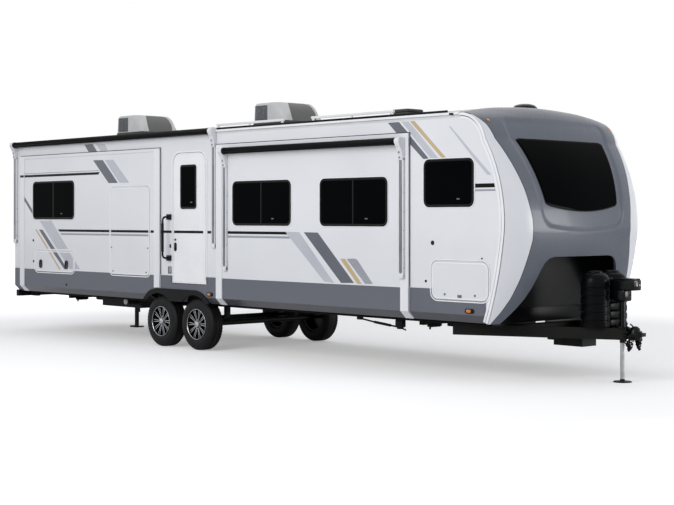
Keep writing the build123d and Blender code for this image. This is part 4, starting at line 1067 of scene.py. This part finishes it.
def shroud(name, centre):
    """One air conditioner in three pieces: shroud, base pan and slatted vents."""
    lengths = [-0.349, -0.347, -0.341, -0.331, -0.315] + [-0.3 + 0.05 * i for i in range(10)]
    lengths += [0.2, 0.23, 0.26, 0.285, 0.305, 0.32, 0.332, 0.341, 0.347, 0.349]
    rows = []
    for x in lengths:
        rear = 1 - max(0.0, (-0.315 - x) / 0.034) ** 2.2
        front = max(0.0, (x - 0.1) / 0.249)
        height = AC_HEIGHT * (0.9 + 0.1 * sqrt(max(rear, 0.0))) * max(1 - front ** 2.6, 0.001) ** 0.62
        half = AC_HALF * (0.955 + 0.045 * sqrt(max(rear, 0.0))) * (1 - 0.03 * front ** 3)
        corner = min(0.04 + 0.15 * min(1.0, max(0.0, (x - 0.04) / 0.26)), height * 0.85)
        rows.append(shroud_section(half, max(height, 0.01), corner))
    width = len(rows[0])
    piece = grid(width, len(rows))
    splits = []
    for index, vertex in enumerate(piece.data.vertices):
        x = lengths[index // width]
        y, z = rows[index // width][index % width]
        up = (z - AC_FLOOR_Z) / 0.3
        lean = REAR_LEAN * up * min(1.0, max(0.0, (-0.18 - x) / 0.15))
        vertex.co = (centre + x + lean, y, z)
        round_corner = x - 0.35 + 1.17 * (0.352 - abs(y))
        splits.append(round_corner - (0.165 - 0.12 * up))
    even_normals()
    top = max(piece.data.polygons, key=lambda polygon: polygon.center.z)
    if top.normal.z < 0:
        piece.data.flip_normals()
    mark = piece.data.attributes.new("past_split", "FLOAT", "POINT")
    for entry, value in zip(mark.data, splits):
        entry.value = value
    use("SOLIDIFY", piece, thickness=0.005, offset=-1.0)
    settle(piece, name + "_shroud", shroud_paint, angle=40)
    pan = [block((centre - 0.352, -0.356, 3.13), (centre + 0.353, 0.356, 3.19), 0.01, 3),
           block((centre - 0.3, -0.31, 3.1), (centre + 0.3, 0.31, 3.132), 0.004),
           block((centre - 0.316, -0.31, 3.165), (centre - 0.306, 0.31, 3.41), 0.004)]
    settle(pan, name + "_pan", pan_plastic)
    fins = []
    for side in (-1, 1):
        fins.append(block((centre - 0.312, side * 0.34, 3.198), (centre - 0.04, side * 0.353, 3.418), 0.004))
        for i in range(9):
            z = 3.2 + i * 0.0245
            fins.append(block((centre - 0.308, side * 0.35, z), (centre - 0.046, side * 0.3575, z + 0.01),
                              0.002))
        for x in (-0.25, -0.18, -0.11):
            fins.append(block((centre + x, side * 0.35, 3.196), (centre + x + 0.01, side * 0.359, 3.414),
                              0.002))
    for i in range(9):
        z = 3.196 + i * 0.024
        x = centre + REAR_LEAN * (z - AC_FLOOR_Z) / 0.3
        fins.append(block((x - 0.3545, -0.27, z), (x - 0.335, 0.27, z + 0.012), 0.002))
    return settle(fins, name + "_vents", vent_paint)


shroud_paint = finish("two_tone_shroud", "#C3C4C5", "#B9BABB", (0.45, 0.58), cloud_mm=160, grain_mm=2,
                      bump_mm=0.12)
past = add_node(shroud_paint.node_tree, "Attribute", attribute_name="past_split").outputs["Fac"]
tinted(shroud_paint, [(past, "GREATER_THAN", (0.0,), "#585957")])
pan_plastic = finish("olive_base_pan", "#3C3B36", "#33322E", (0.5, 0.62), cloud_mm=120, grain_mm=3, gloss=0.3)
vent_paint = finish("vent_slats", "#6B6E73", "#4A4C50", (0.4, 0.6), cloud_mm=30, grain_mm=3, gloss=0.3)
ac_pieces = [shroud(name, centre) for name, centre in (("rear_ac", -3.67), ("middle_ac", -0.25))]
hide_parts("air_conditioners")
print("air conditioners done")

# %% Rails, vent and dome
RAIL_Y, RAIL_Z = -1.0, 3.12
rails = []
for x0, x1 in ((-0.6, 0.82), (1.37, 2.86)):
    rails.append(block((x0, RAIL_Y - 0.017, RAIL_Z - 0.014), (x1, RAIL_Y + 0.017, RAIL_Z + 0.018), 0.006, 3))
    for x in (x0 + 0.03, (x0 + x1) / 2, x1 - 0.03):
        rails.append(block((x - 0.014, RAIL_Y - 0.012, 3.068), (x + 0.014, RAIL_Y + 0.012, RAIL_Z), 0.003))
        rails.append(block((x - 0.035, RAIL_Y - 0.017, 3.064), (x + 0.035, RAIL_Y + 0.019, 3.074), 0.003))
rails = settle(rails, "roof_rails", trim_white)
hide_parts("roof_fittings")
lid = [block((2.335, -0.545, 3.112), (2.645, -0.235, 3.15), 0.006),
       block((2.345, -0.535, 3.15), (2.635, -0.245, 3.196), 0.022, 4)]
settle(lid, "vent_lid", pan_plastic)
dome = turned([(0.0, 3.12), (0.158, 3.12), (0.16, 3.15), (0.15, 3.18), (0.12, 3.207), (0.07, 3.222),
               (0.0, 3.226)], 48)
settle(placed(dome, (3.81, 0.3, 0)), "roof_dome", black_gloss)
# black strips along both roof edges are painted shade for the dark gap under the roof rails
rail_shade_strips = [block((-0.64, y, 3.038), (3.9, y + 0.022, 3.068), 0.003) for y in (-1.19, 1.168)]
settle(rail_shade_strips, "roof_edge_painted_shade", black_moulding)
print("roof pieces done")

# %% [markdown]
# ## Doors and hatches
# Every door closes on a frame. The entry door's frame has round upper corners, the hatches have slim frames,
# and each has its latches: black ovals on the lower hatch, small round locks on the galley door.


# %% Door frames and latches
def door_outline(x0, x1, z0, z1, top, bottom):
    """Corners of a door with round upper corners and smaller lower ones."""
    upper = [c for c in round_corners(x0, x1, z0, z1, top, 8) if c[1] > z1 - top - 0.001]
    lower = [c for c in round_corners(x0, x1, z0, z1, bottom, 4) if c[1] < z0 + bottom + 0.001]
    return upper + lower


def oval_latch(x, z, side, skin, half_wide, half_high, depth):
    """A raised oval with a sunk middle."""
    corners = round_corners(x - half_wide, x + half_wide, z - half_high, z + half_high, half_wide * 0.98)
    piece = board(corners, side, skin, depth)
    for polygon in piece.data.polygons:
        polygon.select = polygon.normal.y * side > 0.9
    bpy.ops.object.mode_set(mode="EDIT")
    bpy.ops.mesh.select_mode(type="FACE")
    bpy.ops.mesh.inset(thickness=half_wide * 0.35)
    bpy.ops.transform.translate(value=(0, -side * depth * 0.5, 0))
    bpy.ops.object.mode_set(mode="OBJECT")
    soften(piece, 0.0015, 2)
    return piece


def knob(x, z, side, skin, radius, depth):
    """A small round lock with a stepped rim."""
    piece = turned([(0, 0), (radius, 0), (radius, depth * 0.5), (radius * 0.8, depth),
                    (radius * 0.6, depth * 0.8), (0, depth * 0.8)], 20)
    return placed(piece, (x, side * skin, z), -side * pi / 2)


jamb = frame_ring(door_outline(-1.356, -0.532, 0.914, 2.775, 0.178, 0.03), -1, WALL_SKIN, 0.026, 0.006, 0.002)
settle(jamb, "entry_door_jamb", trim_white)
leaf_edge = frame_ring(door_outline(-1.322, -0.606, 0.942, 2.741, 0.15, 0.02), -1, WALL_SKIN, 0.018, 0.004,
                       0.001)
settle(leaf_edge, "entry_door_edge", trim_white, "entry_door")
latch = [oval_latch(-1.27, 1.43, -1, WALL_SKIN, 0.03, 0.062, 0.012),
         knob(-1.27, 1.53, -1, WALL_SKIN, 0.016, 0.012)]
settle(latch, "entry_door_latch", black_gloss, "entry_door")
# columns: name, frame's body, leaf's body, side, skin, rear, front, bottom, top, corner radius
HATCHES = [
    ("galley", "rear_slide", "kitchen_door", -1, FACE_SKIN, -2.879, -1.871, 1.0, 2.294, 0.07),
    ("low", "rear_slide", "lower_hatch", -1, FACE_SKIN, -5.022, -3.873, 0.985, 1.325, 0.08),
    ("curb_baggage", "trailer", "curb_baggage_door", -1, SKIRT_SKIN, 3.694, 4.56, 0.905, 1.345, 0.09),
    ("road_baggage", "trailer", "road_baggage_door", 1, SKIRT_SKIN, 3.694, 4.56, 0.905, 1.345, 0.09),
]
for name, holder, leaf, side, skin, x0, x1, z0, z1, radius in HATCHES:
    corners = grown_corners(x0, x1, z0, z1, radius, 0.022)
    ring = frame_ring(corners, side, skin - 0.006, 0.013, 0.01, 0.002)
    settle(ring, name + "_hatch_frame", trim_white, holder)
    leaf_skin = (WALL_SKIN if "baggage" in name else skin) + LEAF_PROUD
    corners = round_corners(x0 + 0.01, x1 - 0.01, z0 + 0.01, z1 - 0.01 - 0.004, radius - 0.01)
    ring = frame_ring(corners, side, leaf_skin, 0.014, 0.0025, 0.001)
    settle(ring, name + "_hatch_edge", trim_white, leaf)
low = [oval_latch(x, 1.108, -1, FACE_SKIN + LEAF_PROUD, 0.04, 0.068, 0.014) for x in (-4.839, -4.083)]
settle(low, "low_hatch_latches", black_gloss, "lower_hatch")
galley = [knob(x, z, -1, FACE_SKIN + LEAF_PROUD, 0.011, 0.008)
          for x, z in ((-2.8, 1.05), (-1.95, 1.05), (-2.84, 1.4), (-1.91, 1.4))]
settle(galley, "galley_hatch_locks", shroud_dark, "kitchen_door")
for side, side_name in SIDES:
    skin = WALL_SKIN + LEAF_PROUD
    locks = [knob(x, 0.965, side, skin, 0.013, 0.008) for x in (3.9, 4.36)]
    locks.append(block((4.1, side * skin, 0.935), (4.16, side * (WALL_SKIN + 0.011), 0.965), 0.002))
    settle(locks, side_name + "_baggage_locks", shroud_dark, side_name + "_baggage_door")
print("doors and hatches done")

# %% [markdown]
# ## Grab handle
# The rail beside the door is a bent steel tube with two moulded brackets. It is drawn as a path with rounded
# bends and given a round section, with a thicker grip along its upright part.

# %% Grab handle
HANDLE_X, HANDLE_OUT = -1.4, 0.13
HANDLE_TOP, HANDLE_FOOT = 1.85, 1.27
bend = 0.05
far = -WALL_SKIN - HANDLE_OUT
turns = [radians(turn) for turn in range(0, 91, 15)]
path = [(HANDLE_X, -WALL_SKIN, HANDLE_TOP)]
path += [(HANDLE_X, far + bend - bend * sin(a), HANDLE_TOP - bend + bend * cos(a)) for a in turns]
path += [(HANDLE_X, far + bend - bend * cos(a), HANDLE_FOOT + bend - bend * sin(a)) for a in turns]
path.append((HANDLE_X, -WALL_SKIN, HANDLE_FOOT))
parts = [tube(path, 0.0145, 16)]
parts.append(tube([(HANDLE_X, far, z) for z in (1.36, 1.76)], 0.0185, 20))
for z in (HANDLE_FOOT, HANDLE_TOP):
    parts.append(block((HANDLE_X - 0.04, -WALL_SKIN, z - 0.04),
                       (HANDLE_X + 0.04, -WALL_SKIN - 0.045, z + 0.04), 0.01, 3))
handle = settle(parts, "entry_grab_handle", black_gloss)
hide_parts("grab_handle")
print("handle done")

# %% [markdown]
# ## Tongue
# The propane cover is a black moulding over two bottles, with ribs round it. The power jack has a square head
# on a round tube. The coupler is pressed steel with a latch lever, and safety chains hang beside it in short
# doubled strands.

# %% Propane cover
RIBS = 5
RIB_STEP = 0.092
BOTTLE_X, BOTTLE_Y = 5.215, 0.16
cover_profile = [(0.0, 0.612), (0.165, 0.612)]
for i in range(RIBS):
    z = 0.68 + i * RIB_STEP
    cover_profile += [(0.165, z - 0.018), (0.158, z - 0.01), (0.158, z + 0.01), (0.165, z + 0.018)]
cover_profile += [(0.165, 1.12), (0.158, 1.16), (0.138, 1.192), (0.105, 1.214), (0.086, 1.218),
                  (0.084, 1.232), (0.06, 1.242), (0.0, 1.247)]
parts = [placed(turned(cover_profile, 64), (BOTTLE_X, side * BOTTLE_Y, 0)) for side in (-1, 1)]
for i in range(RIBS + 1):
    z = 0.62 + i * RIB_STEP
    parts.append(block((5.07, -0.15, z), (5.36, 0.15, z + 0.074), 0.008, 2))
parts.append(block((5.095, -0.12, 1.08), (5.335, 0.12, 1.165), 0.02, 3))
for side in (-1, 1):
    for i in range(4):
        slot = block((0.156, -0.02, 0), (0.1685, 0.02, 0.014), 0.003)
        parts.append(placed(slot, (BOTTLE_X, side * BOTTLE_Y, 0.722 + i * RIB_STEP), side * radians(100),
                            "Z"))
cover = settle(parts, "propane_twin_cover", cover_plastic, angle=30)
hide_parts("propane_cover")
print("propane cover done")

# %% Jack and coupler
JACK_X = 5.47
jack_tube = turned([(0.0255, 0.44), (0.031, 0.44), (0.031, 0.9), (0.058, 0.905), (0.06, 0.93), (0.06, 1.035),
                    (0.0255, 1.035)], 40)
plate = turned([(0.0315, 0.607), (0.078, 0.607), (0.08, 0.612), (0.078, 0.621), (0.0315, 0.622)], 32)
for piece in (jack_tube, plate):
    placed(piece, (JACK_X, 0, 0))
head = block((JACK_X - 0.088, -0.073, 1.03), (JACK_X + 0.205, 0.073, 1.15), 0.014, 3)
lid = block((JACK_X - 0.08, -0.066, 1.148), (JACK_X + 0.195, 0.066, 1.164), 0.006, 2)
motor = block((JACK_X - 0.082, -0.075, 0.905), (JACK_X + 0.08, 0.075, 1.04), 0.022, 3)
panel = block((JACK_X + 0.203, -0.052, 1.052), (JACK_X + 0.212, 0.052, 1.128), 0.004, 2)
jack = settle([jack_tube, plate, head, lid, motor, panel], "power_jack", black_gloss)
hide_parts("jack_body")
knobs = [block((JACK_X + 0.211, y, 1.078), (JACK_X + 0.218, y + 0.018, 1.102), 0.003) for y in (-0.035,
                                                                                                0.017)]
settle(knobs, "power_jack_switches", shroud_light)

leg = turned([(0.0, 0.03), (0.024, 0.03), (0.024, 0.5), (0.0, 0.5)], 32)
leg = settle(placed(leg, (JACK_X, 0, 0)), "jack_inner_leg", zinc, "tongue_jack")
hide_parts("jack_leg")
foot = turned([(0.0, 0.0), (0.104, 0.0), (0.105, 0.006), (0.098, 0.012), (0.048, 0.014), (0.028, 0.022),
               (0.026, 0.036), (0.0, 0.036)], 40)
settle(placed(foot, (JACK_X, 0, 0)), "jack_foot", chassis_paint, "tongue_jack")

bolts = []
for x in (5.58, 5.615):
    for side in (-1, 1):
        bolts.append(placed(stud(0.011, 0.011, 0.008, 0.01, 6), (x, side * 0.05, 0.545), -side * pi / 2))
lever = tube([(5.64, 0.0, 0.588), (5.6, 0.0, 0.64), (5.575, 0.0, 0.655)], 0.009, 12)
dome = turned([(0.0, 0.48), (0.062, 0.48), (0.066, 0.5), (0.064, 0.57), (0.05, 0.612), (0.026, 0.632),
               (0.0, 0.636)], 32)
clamp = [placed(dome, (5.64, 0, 0)), block((5.585, -0.05, 0.575), (5.675, 0.05, 0.612), 0.01, 3),
         block((5.6, -0.062, 0.5), (5.69, 0.062, 0.56), 0.012, 3),
         tube([(5.6, -0.05, 0.6), (5.575, -0.075, 0.64), (5.6, -0.095, 0.67)], 0.01, 12)]
settle(bolts + [lever] + clamp, "coupler_lever_and_bolts", black_gloss)
CHAIN_LINKS = 11
links = []
for side in (-1, 1):
    for strand in range(2):
        for i in range(CHAIN_LINKS):
            t = i / (CHAIN_LINKS - 1)
            x = 5.585 + 0.085 * t - 0.02 * strand
            y = side * (0.078 + 0.02 * strand)
            z = 0.56 - (0.15 - 0.035 * strand) * sin(pi * t) - 0.03 * t
            start_clean()
            bpy.ops.mesh.primitive_torus_add(major_segments=14, minor_segments=8, major_radius=0.0175,
                                             minor_radius=0.0068)
            link = bpy.context.object
            link.data.transform(Matrix.Diagonal((0.72, 1, 1, 1)))
            turn = Matrix.Rotation(pi / 2, 4, "Y") @ Matrix.Rotation(pi / 2, 4, "Z")
            spin = Matrix.Rotation(pi / 2 * (i % 2), 4, "Z")
            swing = Matrix.Rotation(1.1 * (1 - 2 * t), 4, "Y")
            link.data.transform(Matrix.Translation((x, y, z)) @ swing @ spin @ turn)
            links.append(link)
    hook = [(x, side * 0.098, z)
            for x, z in ((5.618, 0.415), (5.614, 0.385), (5.622, 0.362), (5.636, 0.368), (5.638, 0.388))]
    links.append(tube(hook, 0.0095, 10))
    links.append(block((5.56, side * 0.05, 0.556), (5.6, side * 0.1, 0.574), 0.003))
settle(links, "safety_chains", chassis_paint)
print("tongue done")

# %% [markdown]
# ## Swing legs and pipes
# A swing leg is a square tube with a rack and a crank nut on its outer side and a pad with turned-up lips.
# The set is made as on an upright leg, then turned about the pivot for the legs that are folded. A drain pipe
# runs from the tank to the skirt. A thin rod with a gear housing hangs under the front of the rail, and a
# black sheet closes the space between the nose and the tongue.

# %% Leg fittings and drain
LEG_PIVOT_Z, LEG_Y = 0.562, 0.64
for side, side_name in SIDES:
    for x, end_name in ((-4.9, "rear"), (3.0, "front")):
        y = side * LEG_Y
        out = y + side * 0.025
        parts = [block((x - 0.022, out, 0.25), (x + 0.022, out + side * 0.03, 0.47), 0.004)]
        for i in range(7):
            z = 0.27 + i * 0.028
            parts.append(block((x - 0.014, out, z), (x + 0.014, out + side * 0.037, z + 0.012), 0.002))
        nut = turned([(0, 0), (0.013, 0), (0.013, 0.03), (0.009, 0.034), (0, 0.034)], 6)
        parts.append(placed(nut, (x, out + side * 0.028, 0.44), -side * pi / 2))
        for way in (-1, 1):
            lip = x + way * 0.1
            parts.append(block((lip - way * 0.006, y - 0.07, 0.008), (lip, y + 0.07, 0.026), 0.002))
            parts.append(block((x + way * 0.025, y - 0.018, 0.08), (x + way * 0.031, y + 0.018, 0.42), 0.002))
            bolt = stud(0.01, 0.01, 0.006, 0.008, 6)
            parts.append(placed(bolt, (x + way * 0.031, y, 0.35), way * pi / 2, "Y"))
        fittings = joined(parts)
        if (side_name, end_name) != ("road", "rear"):
            pivot = Matrix.Translation((0, y, LEG_PIVOT_Z))
            fittings.data.transform(pivot @ Matrix.Rotation(-side * pi / 2, 4, "X") @ pivot.inverted())
        leg_name = f"{side_name}_{end_name}"
        settle(fittings, leg_name + "_leg_fittings", chassis_paint, leg_name + "_stand")
brace = [tube([(2.18, -0.9, 0.585), (2.4, -0.9, 0.556), (2.86, -0.9, 0.512)], 0.011, 12),
         tube([(2.42, -0.9, 0.554), (2.7, -0.9, 0.527)], 0.017, 16),
         block((2.12, -0.918, 0.57), (2.205, -0.882, 0.606), 0.004),
         block((2.81, -0.935, 0.515), (2.93, -0.865, 0.606), 0.01, 2),
         block((2.83, -0.925, 0.492), (2.905, -0.875, 0.52), 0.006, 2),
         tube([(2.87, -0.9, 0.51), (2.96, -0.9, 0.486)], 0.01, 12)]
settle(brace, "front_leg_brace", chassis_paint)
sheet = [block((4.462, -1.06, 0.64), (4.476, 1.06, 0.809), 0.003),
         block((4.462, -1.06, 0.609), (4.476, -0.3, 0.642), 0.003),
         block((4.462, -0.12, 0.609), (4.476, 1.06, 0.642), 0.003)]
settle(sheet, "front_closing_sheet", cover_plastic)
pipe = tube([(-3.3, -0.69, 0.56), (-2.96, -0.76, 0.56), (-2.96, -0.9, 0.575)], 0.036, 20)
valve = block((-2.985, -0.84, 0.52), (-2.935, -0.815, 0.64), 0.004)
settle([pipe, valve], "drain_pipe", black_moulding)
cap_end = turned([(0, 0), (0.042, 0), (0.044, 0.006), (0.044, 0.02), (0.036, 0.026), (0, 0.026)], 24)
settle(placed(cap_end, (-2.96, -0.895, 0.575), pi / 2), "drain_cap", shroud_light)
print("leg fittings and drain done")

# %% [markdown]
# ## Lamps and small fittings
# Amber side markers sit on the skirt, small clearance lamps on the cap's shoulders, and red lamps at the
# back. Black caps cover cable and hose inlets in the walls.

# %% Lamps and inlets
ambers, bases = [], []
for side in (-1, 1):
    for x, z in ((-0.475, 0.79), (4.28, 0.79)):
        corners = round_corners(x - 0.04, x + 0.028, z - 0.018, z + 0.018, 0.017)
        ambers.append(board(corners, side, SKIRT_SKIN, 0.016, 0.004))
        corners = round_corners(x - 0.064, x + 0.072, z - 0.027, z + 0.027, 0.025)
        bases.append(board(corners, side, SKIRT_SKIN, 0.009, 0.003))
for y, z in ((-1.105, 2.93), (1.105, 2.93)):
    x = cap_x(y, z)
    slope_x = cap_x(y, z - 0.02) - x
    lean = atan2(slope_x, 0.02)
    lamp = block((-0.014, -0.022, 0), (0.014, 0.022, 0.01), 0.004, 2)
    ambers.append(placed(lamp, (x, y, z), pi / 2 - lean, "Y"))
settle(ambers, "amber_markers", amber_lens)
settle(bases, "marker_bases", black_moulding)

bezels = []
for side in (-1, 1):
    y = side * 1.08
    for z0, z1 in ((1.066, 1.08), (1.38, 1.394), (1.176, 1.182), (1.276, 1.282)):
        bezels.append(block((-5.703, y - 0.072, z0), (-5.676, y + 0.072, z1), 0.003))
    for a in (-0.072, 0.06):
        bezels.append(block((-5.703, y + a, 1.066), (-5.676, y + a + 0.012, 1.394), 0.003))
settle(bezels, "tail_lamp_bezels", trim_white)
reds = [block((-5.69, y - 0.03, 2.93), (-5.676, y + 0.03, 2.955), 0.004) for y in (-1.06, -0.2, 0.0, 0.2,
                                                                                   1.06)]
settle(reds, "rear_clearance_lamps", red_lens)

inlets = [knob(3.707, 1.55, -1, WALL_SKIN, 0.026, 0.01), knob(3.6, 1.106, -1, WALL_SKIN, 0.016, 0.008)]
inlets.append(oval_latch(-1.39, 1.44, -1, WALL_SKIN, 0.014, 0.028, 0.008))
inlets.append(knob(4.461, 1.385, -1, WALL_SKIN, 0.01, 0.006))
inlets.append(block((3.985, -WALL_SKIN, 3.005), (4.05, -(WALL_SKIN + 0.03), 3.028), 0.006))
settle(inlets, "wall_inlets", black_gloss)
dots = [knob(x, z, -1, FACE_SKIN, 0.02, 0.007) for x, z in ((-5.077, 1.478), (-5.068, 1.144), (-4.094, 0.8))]
settle(dots, "rear_slide_inlets", black_gloss, "rear_slide")
grille = [frame_ring(round_corners(-1.44, -1.35, 1.05, 1.15, 0.01, 3), -1, WALL_SKIN, 0.008, 0.008, 0.001)]
grille += [block((-1.435, -WALL_SKIN, 1.06 + i * 0.016), (-1.355, -(WALL_SKIN + 0.006), 1.068 + i * 0.016),
                 0.001)
           for i in range(6)]
settle(grille, "outlet_grille", shroud_dark)
print("lamps and inlets done")

# %% [markdown]
# ## Trims and seals
# White strips cover the body's rear corners. A black rubber wiper lies along each side of a slide room's
# opening. Its thin dark line beside the flange is partly the real rubber and partly painted shade of the
# flange's edge.

# %% Corner trims and slide wipers
strips = []
for side in (-1, 1):
    for x0, x1, inner_y, outer_y, edge in ((-5.678, -5.64, 0.03, 0.006, 0.004),
                                           (-5.684, -5.674, 0.045, 0.004, 0.003)):
        strips.append(block((x0, side * (WALL_SKIN - inner_y), 1.028),
                            (x1, side * (WALL_SKIN + outer_y), 2.97), edge, 2))
settle(strips, "rear_corner_trims", trim_white)
# black strips beside each flange and over its top: partly the rubber wiper, partly painted shade of the
# flange's edge
wipers_and_flange_shade = []
for side, x0, x1 in ((-1, -5.479, -1.624), (-1, -0.311, 3.338), (1, -0.311, 3.338)):
    for x in (x0 - 0.01, x1 + 0.002):
        wipers_and_flange_shade.append(block((x, side * WALL_SKIN, 1.03), (x + 0.008, side * (WALL_SKIN + 0.008), 2.835),
                            0.002))
    wipers_and_flange_shade.append(block((x0 - 0.01, side * WALL_SKIN, 2.833), (x1 + 0.01, side * (WALL_SKIN + 0.008), 2.841),
                        0.002))
settle(wipers_and_flange_shade, "slide_wipers_and_flange_shade", rubber)
print("trims done")

# %% [markdown]
# ## Floor, lights and background
# The photo is cut out on white, with a soft shadow. The floor is pale; to the camera it glows less near the
# trailer, which is painted shade that deepens the shadow round it. The world is white to the camera and in
# reflections, and gives dim grey light. Three soft lamps light the trailer at a plain level.

# %% Stage
FLOOR_SIZE = 160
start_clean()
bpy.ops.mesh.primitive_plane_add(size=FLOOR_SIZE, location=(0, 0, 0))
floor = bpy.context.object
floor.name = "studio_floor"
ground = bpy.data.materials.new("studio_floor")
ground.use_nodes = True
tree = ground.node_tree
tree.nodes.clear()
rays = add_node(tree, "LightPath")
matt = add_node(tree, "BsdfDiffuse", {"Color": colour("#EDEDEE")}).outputs["BSDF"]
place = add_node(tree, "TexCoord").outputs["Object"]
distance = add_node(tree, "VectorMath", {0: place}, operation="LENGTH").outputs["Value"]
# the floor's glow to the camera grows from 0.3 within 7.5 m of the centre to 0.85 beyond 14 m: painted shade
# round the trailer
glow_with_painted_shade_near_trailer = add_node(tree, "MapRange", {
    "Value": distance, "From Min": 7.5, "From Max": 14.0, "To Min": 0.3, "To Max": 0.85,
}).outputs["Result"]
lift = add_node(tree, "Emission", {"Color": (1, 1, 1, 1), "Strength": glow_with_painted_shade_near_trailer}).outputs["Emission"]
bright = add_node(tree, "AddShader", {0: matt, 1: lift}).outputs["Shader"]
shown = add_node(tree, "MixShader", {0: rays.outputs["Is Camera Ray"], 1: matt, 2: bright})
add_node(tree, "OutputMaterial", {"Surface": shown.outputs["Shader"]})
floor.data.materials.append(ground)

world = bpy.data.worlds.new("studio")
bpy.context.scene.world = world
world.use_nodes = True
tree = world.node_tree
tree.nodes.clear()
rays = add_node(tree, "LightPath")
either = add_node(tree, "Math", {0: rays.outputs["Is Camera Ray"], 1: rays.outputs["Is Glossy Ray"]},
                  operation="MAXIMUM").outputs["Value"]
either = add_node(tree, "Math", {0: either, 1: rays.outputs["Is Transmission Ray"]},
                  operation="MAXIMUM").outputs["Value"]
fill = add_node(tree, "Background", {"Color": colour("#EFF0F3"), "Strength": 0.55})
backdrop = add_node(tree, "Background", {"Color": (1, 1, 1, 1), "Strength": 1.0})
mixed = add_node(tree, "MixShader", {
    0: either, 1: fill.outputs["Background"], 2: backdrop.outputs["Background"],
})
add_node(tree, "OutputWorld", {"Surface": mixed.outputs["Shader"]})

# columns: name, place, aim, size, power in watts
LAMPS = [
    ("key", (4.0, -16.0, 8.5), (-2.0, 0.0, 1.4), 9.0, 1380),
    ("front", (15.5, 8.5, 2.4), (4.0, 0.4, 1.6), 4.6, 800),
    ("top", (-1.0, 4.5, 13.0), (-1.0, 0.0, 0.0), 9.0, 220),
]
for name, place, aim, size, power in LAMPS:
    data = bpy.data.lights.new(name, "AREA")
    data.size = size
    data.energy = power
    lamp = bpy.data.objects.new(name, data)
    lamp.location = place
    lamp.rotation_euler = (Vector(aim) - Vector(place)).to_track_quat("-Z", "Y").to_euler()
    bpy.context.collection.objects.link(lamp)
bpy.context.scene.view_settings.view_transform = "Standard"
print("lamps:", len(LAMPS))
